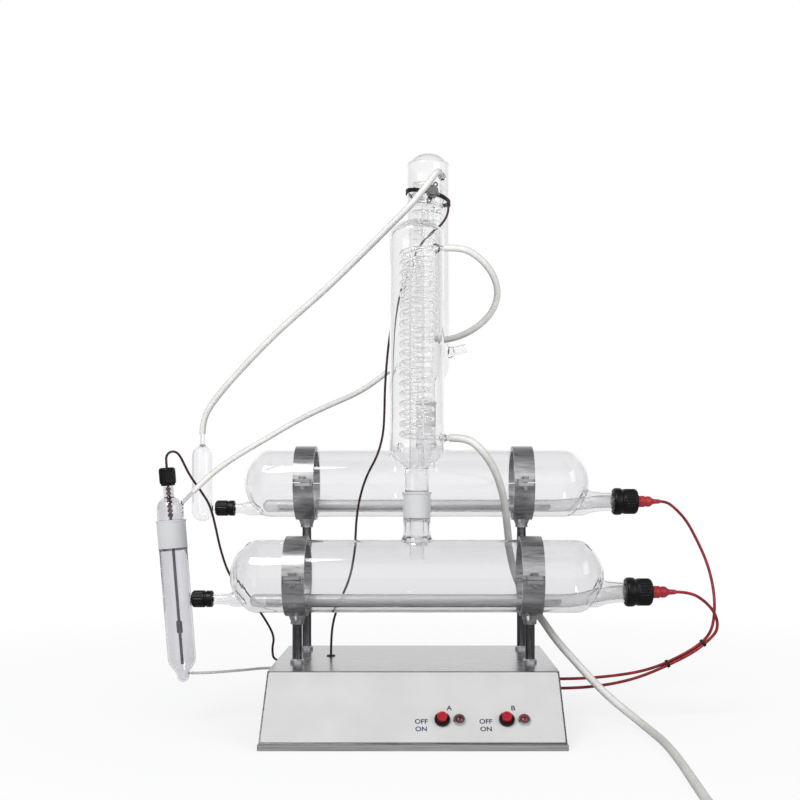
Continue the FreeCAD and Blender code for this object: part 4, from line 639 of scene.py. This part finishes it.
def coating(name, dark, light, gloss, patch=40, peel=500, coat=0.0, extra=None):
    """Non-metal: two shades in patches, and a skin relief with its own grain."""
    made, tree = new_material(name)
    mix, worn = pattern(tree, patch, [(0, 1), (gloss, gloss + 0.1)], detail=3)[1:]
    shade = add(tree, "Mix", {0: mix, 6: linear(dark), 7: linear(light)}, data_type="RGBA")
    skin = add(tree, "Bump", {"Height": pattern(tree, peel, detail=2)[0], "Distance": skin_relief,
                              "Strength": 0.5})
    inputs = {"Base Color": shade.outputs[2], "Roughness": worn, "Coat Weight": coat,
              "Coat Roughness": 0.08, "Normal": skin.outputs[0]}
    shader = add(tree, "BsdfPrincipled", {**inputs, **(extra or {})})
    add(tree, "OutputMaterial", {"Surface": shader.outputs[0]})
    return made


panel_paint = coating("powder_coat", "#d7d7d5", "#e0e0de", 0.38, patch=12, coat=0.2)
phenolic = coating("black_phenolic", "#080708", "#121011", 0.3, peel=900, extra={"Specular IOR Level": 0.3})
red_press = coating("red_button_plastic", "#a8101c", "#c2182a", 0.22, coat=0.5)
lens_plastic = coating("red_lens_plastic", "#5e0f14", "#8a1a20", 0.12, coat=0.6,
                       extra={"Transmission Weight": 0.3})
boot_rubber = coating("red_boot_rubber", "#a01c28", "#c22c38", 0.34, coat=0.2)
black_rubber = coating("black_rubber", "#0f0e0e", "#1c1b1b", 0.55)
nylon = coating("black_nylon", "#0c0c0c", "#171717", 0.4, extra={"Specular IOR Level": 0.35})
resist = coating("green_solder_resist", "#14402a", "#1e5a3b", 0.3)
print_ink = coating("navy_print", "#1d2350", "#2a3268", 0.5)
finish(["front_panel"], panel_paint)
finish(["button_a", "button_b"], red_press)
finish(["button_bodies", "cable_gland"], phenolic)
finish(["lamp_lenses"], lens_plastic)
finish(["lead_boots"], boot_rubber)
finish(["neck_seals", "grommets"], black_rubber)
finish(["thermostat_strap", "tie_wraps"], nylon)
finish(["control_board"], resist)
print("coatings ready")

# %% [markdown]
# The electrode is a bare steel rod whose top carries a pale pink sleeve. Both are one solid, so one
# material tells them apart by height along the level vessel: metal below, rubber above.

# %% Electrode
sleeve_reach = (196, 260)


def electrode():
    """Steel rod, with a pale pink silicone sleeve over its top where the wires are joined."""
    made, tree = new_material("electrode_rod_and_sleeve")
    sleeve = band(tree, level_way, level_start, *sleeve_reach)
    shade = add(tree, "Mix", {0: sleeve, 6: linear("#6d6a6c"), 7: linear("#d9a3a6")}, data_type="RGBA")
    bare = add(tree, "Math", {0: 1.0, 1: sleeve}, operation="SUBTRACT").outputs[0]
    worn = pattern(tree, 300, [(0.3, 0.45)])[1]
    shader = add(tree, "BsdfPrincipled", {
        "Base Color": shade.outputs[2], "Metallic": bare, "Roughness": worn})
    add(tree, "OutputMaterial", {"Surface": shader.outputs[0]})
    return made


finish(["electrode_rod"], electrode())
print("electrode ready")

# %% [markdown]
# The condenser coils. Each is a glass tube wound to a helix: at turn t the centre line is at angle start
# + hand * 2 pi t and at height low + pitch * t. Its two ends run straight on, level, out to the jacket's
# wall. A curve with a bevel would give only the outer skin, and refract as a solid rod. So the tube is
# a grid of points: an outer skin and an inner one, joined at both ends, which refracts as a tube does.

# %% Condenser coils
coil_radius = 18.5
coil_pitch = 12.5
coil_tube_outside = 3.6
coil_tube_inside = 2.5
end_points = 7


def coil_path(axis, low, start, hand, loops, jacket, per_turn=36):
    """Points of the centre line in metres, and the direction from the axis at each point."""
    turn = np.linspace(0, loops, int(loops * per_turn) + 1)
    angle = math.radians(start) + hand * 2 * math.pi * turn
    outward = np.stack([np.cos(angle), np.sin(angle), 0 * angle], axis=-1)
    centre = np.array([axis[0], axis[1], low]) + np.array([0, 0, coil_pitch]) * turn[:, None]
    helix = centre + coil_radius * outward
    ahead = hand * np.stack([-np.sin(angle), np.cos(angle), 0 * angle], axis=-1)
    reach = np.linspace(0, 1, end_points + 1)[:, None] * math.sqrt(jacket ** 2 - coil_radius ** 2)
    first = helix[0] - reach[:0:-1] * ahead[0]
    last = helix[-1] + reach[1:] * ahead[-1]
    before, after = (np.repeat(outward[k:k + 1], end_points, axis=0) for k in (0, len(turn) - 1))
    return np.vstack([first, helix, last]) * mm, np.vstack([before, outward, after])


def tube_grid(path, normal, radius, sides=14):
    """Point (p, a) lies at path(p) + radius * (normal(p) * cos a + binormal(p) * sin a)."""
    ahead = np.gradient(path, axis=0)
    ahead /= np.linalg.norm(ahead, axis=1)[:, None]
    normal = normal - ahead * np.sum(normal * ahead, axis=1)[:, None]
    normal /= np.linalg.norm(normal, axis=1)[:, None]
    angle = np.linspace(0, 2 * math.pi, sides, endpoint=False)
    binormal = np.cross(ahead, normal)
    section = normal[:, None] * np.cos(angle)[:, None] + binormal[:, None] * np.sin(angle)[:, None]
    return path[:, None] + radius * mm * section


coils = {
    "coil_front": {"axis": (4.0, rows["front"]["y"]), "low": 358.0, "start": 70, "hand": 1,
                   "loops": 18.528, "jacket": 34.0},
    "coil_rear": {"axis": (19.0, rows["rear"]["y"]), "low": 491.0, "start": -127, "hand": -1,
                  "loops": 17.661, "jacket": 29.0},
}
for name, shape in coils.items():
    path, outward = coil_path(**shape)
    outside = tube_grid(path, outward, coil_tube_outside)
    inside = tube_grid(path, outward, coil_tube_inside)
    skins = np.vstack([outside, inside[::-1]])
    coil = show(grid_mesh(name, skins, closed_rows=True, sharp=60), coil_glass)
    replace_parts(coil, "condenser_coils")
    print(name, len(coil.data.polygons), "faces")

# %% [markdown]
# The heaters. Resistance wire is wound closely on a rod inside each quartz tube: a helix again, with a
# radius of the element less the wire's own. Only a grey band of it shows through the glass, so six sides
# on the wire are enough.

# %% Heater windings
winding_start, winding_end = -184.5, 184.0
winding_radius = 3.7
winding_pitch = 2.4
wire_radius = 0.8
winding_steps = 14
winding_drop = 33.3
loops = (winding_end - winding_start) / winding_pitch
turn = np.linspace(0, loops, int(loops * winding_steps))
outward = np.stack([0 * turn, np.cos(2 * math.pi * turn), np.sin(2 * math.pi * turn)], axis=-1)
for row, spec in rows.items():
    foot = np.array([winding_start, spec["y"], spec["z"] - winding_drop])
    centre = foot + np.array([winding_pitch, 0, 0]) * turn[:, None]
    path = (centre + winding_radius * outward) * mm
    wire = grid_mesh("winding_" + row, tube_grid(path, outward, wire_radius, 6))
    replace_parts(show(wire, heater_wire), "heater_elements")
    print(wire.name, len(wire.data.polygons), "faces")

# %% [markdown]
# Screw caps. A cap is a profile turned round its axis, as on a lathe, and a ripple on its radius makes the
# grip ribs: the radius falls by a small share between ribs, over the height of the grip only. Ribs could
# be cut one by one with booleans, but that leaves ragged faces, and the ripple is one formula. Each cap
# rides on its own body, so it turns with its joint.

# %% Screw caps
rib_end = 1.2
outer_share = 0.85


def grip(count, depth, low, high):
    """Radius * (1 - depth * (0.5 - 0.5 cos(count a))), on the outer skin and between two heights only."""
    def ripple(angle, height, radius):
        inside = np.clip((height - low) / rib_end, 0, 1) * np.clip((high - height) / rib_end, 0, 1)
        outside = radius > outer_share * radius.max()
        return 1 - depth * inside * outside * (0.5 - 0.5 * np.cos(count * angle))
    return ripple


def ladder(profile, step=1.0):
    """The same line with points no further apart than a step, so that ribs start and end cleanly."""
    made = [profile[0]]
    for before, after in zip(profile, profile[1:]):
        count = max(1, int(math.ceil(math.dist(before, after) / step)))
        whole = np.array(after) - before
        made += [tuple(np.array(before) + whole * k / count) for k in range(1, count + 1)]
    return np.array(made, float)


heater_cap = rounded([(13.1, 0), (16.4, 0), (18.2, 2.6), (18.4, 7.0), (18.0, 10.6), (16.4, 13.0),
                      (16.4, 14.6), (17.1, 15.6), (17.1, 30.5), (14.4, 33.5), (7.3, 33.5), (7.3, 28.5),
                      (13.1, 28.5), (13.1, 0)], 2.2)
inlet_cap = rounded([(6.9, 0), (8.2, 0), (10.6, 2.4), (10.6, 16.0), (9.6, 16.4), (9.6, 18.2), (10.4, 18.8),
                     (10.4, 25.0), (9.4, 26.0), (6.9, 26.0), (6.9, 0)], 0.9)
electrode_cap = rounded([(6.9, 0), (8.6, 0), (8.6, 2.2), (10.0, 3.2), (10.2, 5.0), (10.2, 20.5),
                         (8.6, 22.5), (1.9, 22.5), (1.9, 19.5), (6.9, 19.5), (6.9, 0)], 0.9)
heater_grip = grip(30, 0.045, 16.4, 30.0)
inlet_grip = grip(18, 0.05, 2.6, 15.6)
electrode_grip = grip(18, 0.05, 4.0, 20.0)
electrode_cap_seat = 246
electrode_cap_place = tuple(np.array(level_start) + electrode_cap_seat * np.array(level_way))
cap_places = {}
for kind, profile, ribs in (("heater_cap", heater_cap, heater_grip), ("inlet_cap", inlet_cap, inlet_grip)):
    for row, spec in rows.items():
        x, drop = spec[kind]
        cap_places[kind + "_" + row] = (profile, (x, spec["y"], spec["z"] - drop), (1, 0, 0), ribs)
cap_places["electrode_cap"] = (electrode_cap, electrode_cap_place, level_way, electrode_grip)
for node, (profile, start, way, ripple) in cap_places.items():
    made = lathe(node + "_ribbed", ladder(profile), start, way, 180, ripple, 50)
    show(made, phenolic, rides=node)
    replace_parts(made, node)
print("caps:", len(cap_places))

# %% [markdown]
# Two thin wires run from the electrode's sleeve up to the cap, twisted round each other: two helices half
# a turn apart, on the level vessel's axis. They are too thin to be worth a CAD part, but they show
# through the neck's clear glass.

# %% Twisted electrode wires
twist_start, twist_length, twist_turns = 206, 38, 3.5
twist_radius, twist_wire = 2.7, 0.7
turn = np.linspace(0, twist_turns, 120)
side, other, way = axes_of(level_way)
for name, lead_in in (("electrode_wire_a", 0.0), ("electrode_wire_b", math.pi)):
    angle = 2 * math.pi * turn + lead_in
    outward = side * np.cos(angle)[:, None] + other * np.sin(angle)[:, None]
    height = twist_start + twist_length * turn / twist_turns
    path = (np.array(level_start) + way * height[:, None] + twist_radius * outward) * mm
    show(grid_mesh(name, tube_grid(path, outward, twist_wire, 8)), dark_lead)
print("wires ready")

# %% [markdown]
# Panel print. Each label is text turned into a flat mesh, laid on the sloped panel by a frame of three
# directions: across, up the slope and out of it. Print is thinner than a hair, so it needs no thickness,
# and a mesh stays sharp at any distance, which a painted picture does not. Only the letters of the two
# circuits and the words for the buttons' states are printed.

# %% Panel labels
panel_run, panel_rise, panel_thickness = 71.0, 69.5, 0.8
slope_up = Vector((0, panel_run, panel_rise)).normalized()
slope_out = Vector((0, -slope_up.z, slope_up.y))
letter_boldness = 0.2 * mm
print_lift = 0.05 * mm
panel_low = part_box("front_panel")[0]
panel_foot = Vector((0, panel_low.y, panel_low.z + panel_thickness * mm * slope_out.z))


def label(text, across, rise, height):
    """Flat text just above the paint, its middle at a place across and up the slope, in millimetres."""
    words = bpy.data.curves.new("label", "FONT")
    words.body = text
    words.size = height * mm
    words.align_x = "CENTER"
    words.align_y = "CENTER"
    words.offset = letter_boldness
    line = bpy.data.objects.new("label", words)
    mesh = bpy.data.meshes.new_from_object(line)
    bpy.data.objects.remove(line)
    place = panel_foot + slope_up * (rise * mm) + slope_out * print_lift + Vector((across * mm, 0, 0))
    turn = Matrix((Vector((1, 0, 0)), slope_up, slope_out)).transposed().to_4x4()
    mesh.transform(Matrix.Translation(place) @ turn)
    made = bpy.data.objects.new("label_" + text.lower() + "_" + str(round(across)), mesh)
    bpy.context.scene.collection.objects.link(made)
    show(made, print_ink)


button_places = {"A": 33.4, "B": 107.1}
letter_right, letter_rise, letter_size = 8.2, 45, 9
word_left, word_size = 24, 8.5
word_rises = {"OFF": 27, "ON": 17}
for letter, button_x in button_places.items():
    label(letter, button_x + letter_right, letter_rise, letter_size)
    for word, rise in word_rises.items():
        label(word, button_x - word_left, rise, word_size)
print("labels ready")

# %% [markdown]
# The photograph's ground is plain white. Glass and polished metal show only what surrounds them, so the
# surroundings are drawn with care: white ahead and behind, and grey to both sides and above for the rays
# that have met glass or metal. That is how a studio lights glassware, with a bright field and darker
# cards beside it, and it draws the thin grey edges of the tubes. Real cards would do the same, but would
# also shade the object and stand in the way of views from the sides. Each ray's kind picks what it
# meets: the eye's rays find plain white, rays off metal a darker card than rays through glass, and the
# rest a soft light of about half strength, so that colours come out as they are written.

# %% Surroundings
world = bpy.data.worlds.new("studio")
bpy.context.scene.world = world
world.use_nodes = True
sky = world.node_tree
sky.nodes.clear()
ray = add(sky, "LightPath")
towards = add(sky, "SeparateXYZ", {"Vector": add(sky, "TexCoord").outputs["Generated"]})
across = add(sky, "Math", {0: towards.outputs[0]}, operation="ABSOLUTE").outputs[0]
side_start, side_full = 0.50, 0.80
top_start, top_full = 0.45, 0.80
beside = add(sky, "MapRange", {"Value": across, "From Min": side_start, "From Max": side_full})
above = add(sky, "MapRange", {"Value": towards.outputs[2], "From Min": top_start, "From Max": top_full})
cards = add(sky, "Math", {0: beside.outputs[0], 1: above.outputs[0]}, operation="MAXIMUM").outputs[0]
met = add(sky, "Math", {0: ray.outputs["Is Glossy Ray"], 1: ray.outputs["Is Transmission Ray"]},
          operation="MAXIMUM").outputs[0]
seen = add(sky, "Math", {0: met, 1: ray.outputs["Is Camera Ray"]}, operation="MAXIMUM").outputs[0]
through = add(sky, "Mix", {0: cards, 6: linear("#ffffff"), 7: linear("#bcbcbf")}, data_type="RGBA")
mirrored = add(sky, "Mix", {0: cards, 6: linear("#ffffff"), 7: linear("#7c7c80")}, data_type="RGBA")
shown = add(sky, "Mix", {0: ray.outputs["Is Transmission Ray"], 6: mirrored.outputs[2],
                         7: through.outputs[2]}, data_type="RGBA")
field = add(sky, "Background", {"Color": shown.outputs[2], "Strength": 1.0})
white = add(sky, "Background", {"Color": linear("#ffffff"), "Strength": 1.0})
soft = add(sky, "Background", {"Color": linear("#f4f6f8"), "Strength": 0.54})
around = add(sky, "MixShader", {0: met, 1: white.outputs[0], 2: field.outputs[0]})
whole = add(sky, "MixShader", {0: seen, 1: soft.outputs[0], 2: around.outputs[0]})
add(sky, "OutputWorld", {"Surface": whole.outputs[0]})
print("surroundings ready")

# %% [markdown]
# The floor is white paper. Left to the lamps alone it would turn grey and show a horizon, so for the rays
# that the eye follows it mostly glows with the ground's own white. Near the object about a fifth of its
# look is still lit paper, which keeps the shadow, and that share fades away outwards. Rays mirrored off
# metal or glass find it glowing grey instead: a painted reflection, standing for a darker room beyond
# the paper. Two soft lamps, the stronger one from the upper left, light the rest.

# %% Floor
floor_reach = 6.0
floor_drop = 0.2 * mm
corners = np.array([(-1, -1, 0), (1, -1, 0), (1, 1, 0), (-1, 1, 0)])
floor = mesh_object("floor", corners * floor_reach - (0, 0, floor_drop), [(0, 1, 2, 3)])
floor_white, tree = new_material("white_paper")
ray = add(tree, "LightPath")
direct = add(tree, "Math", {0: ray.outputs["Is Camera Ray"], 1: ray.outputs["Is Glossy Ray"]},
             operation="MAXIMUM")
plain = add(tree, "Math", {0: direct.outputs[0], 1: ray.outputs["Is Transmission Ray"]},
            operation="MAXIMUM")
place = add(tree, "TexCoord").outputs["Object"]
distance = add(tree, "VectorMath", {0: place}, operation="LENGTH").outputs["Value"]
fade_start, fade_end, glow_near = 0.35, 1.3, 0.78
share = add(tree, "MapRange", {"Value": distance, "From Min": fade_start, "From Max": fade_end,
                               "To Min": glow_near, "To Max": 1.0})
glow = add(tree, "Math", {0: plain.outputs[0], 1: share.outputs[0]}, operation="MULTIPLY").outputs[0]
paper = add(tree, "BsdfDiffuse", {"Color": linear("#ffffff")})
# Painted reflection: rays mirrored off metal or glass see the floor glow grey, not white.
reflected = add(tree, "Math", {0: ray.outputs["Is Glossy Ray"], 1: ray.outputs["Is Transmission Ray"]},
                operation="SUBTRACT", use_clamp=True).outputs[0]
painted_reflection = add(tree, "Mix", {0: reflected, 6: linear("#ffffff"), 7: linear("#77777a")}, data_type="RGBA")
lit = add(tree, "Emission", {"Color": painted_reflection.outputs[2], "Strength": 1.0})
surface = add(tree, "MixShader", {0: glow, 1: paper.outputs[0], 2: lit.outputs[0]})
add(tree, "OutputMaterial", {"Surface": surface.outputs[0]})
floor.data.materials.append(floor_white)
print("floor in metres:", 2 * floor_reach)

# %% Lamps


def lamp(name, place, aim, size, power):
    """A square softbox of a size in metres that faces a point."""
    made = bpy.data.lights.new(name, "AREA")
    made.size = size
    made.energy = power
    placed = bpy.data.objects.new(name, made)
    placed.location = place
    placed.rotation_euler = (Vector(aim) - Vector(place)).to_track_quat("-Z", "Y").to_euler()
    bpy.context.scene.collection.objects.link(placed)


lamp_aim = (0, 0, 0.3)
lamp("key", (-0.9, -1.3, 2.0), lamp_aim, 0.9, 24)
lamp("fill", (1.5, -1.2, 1.0), lamp_aim, 1.2, 8)
print("lamps:", [light.name for light in bpy.data.lights])
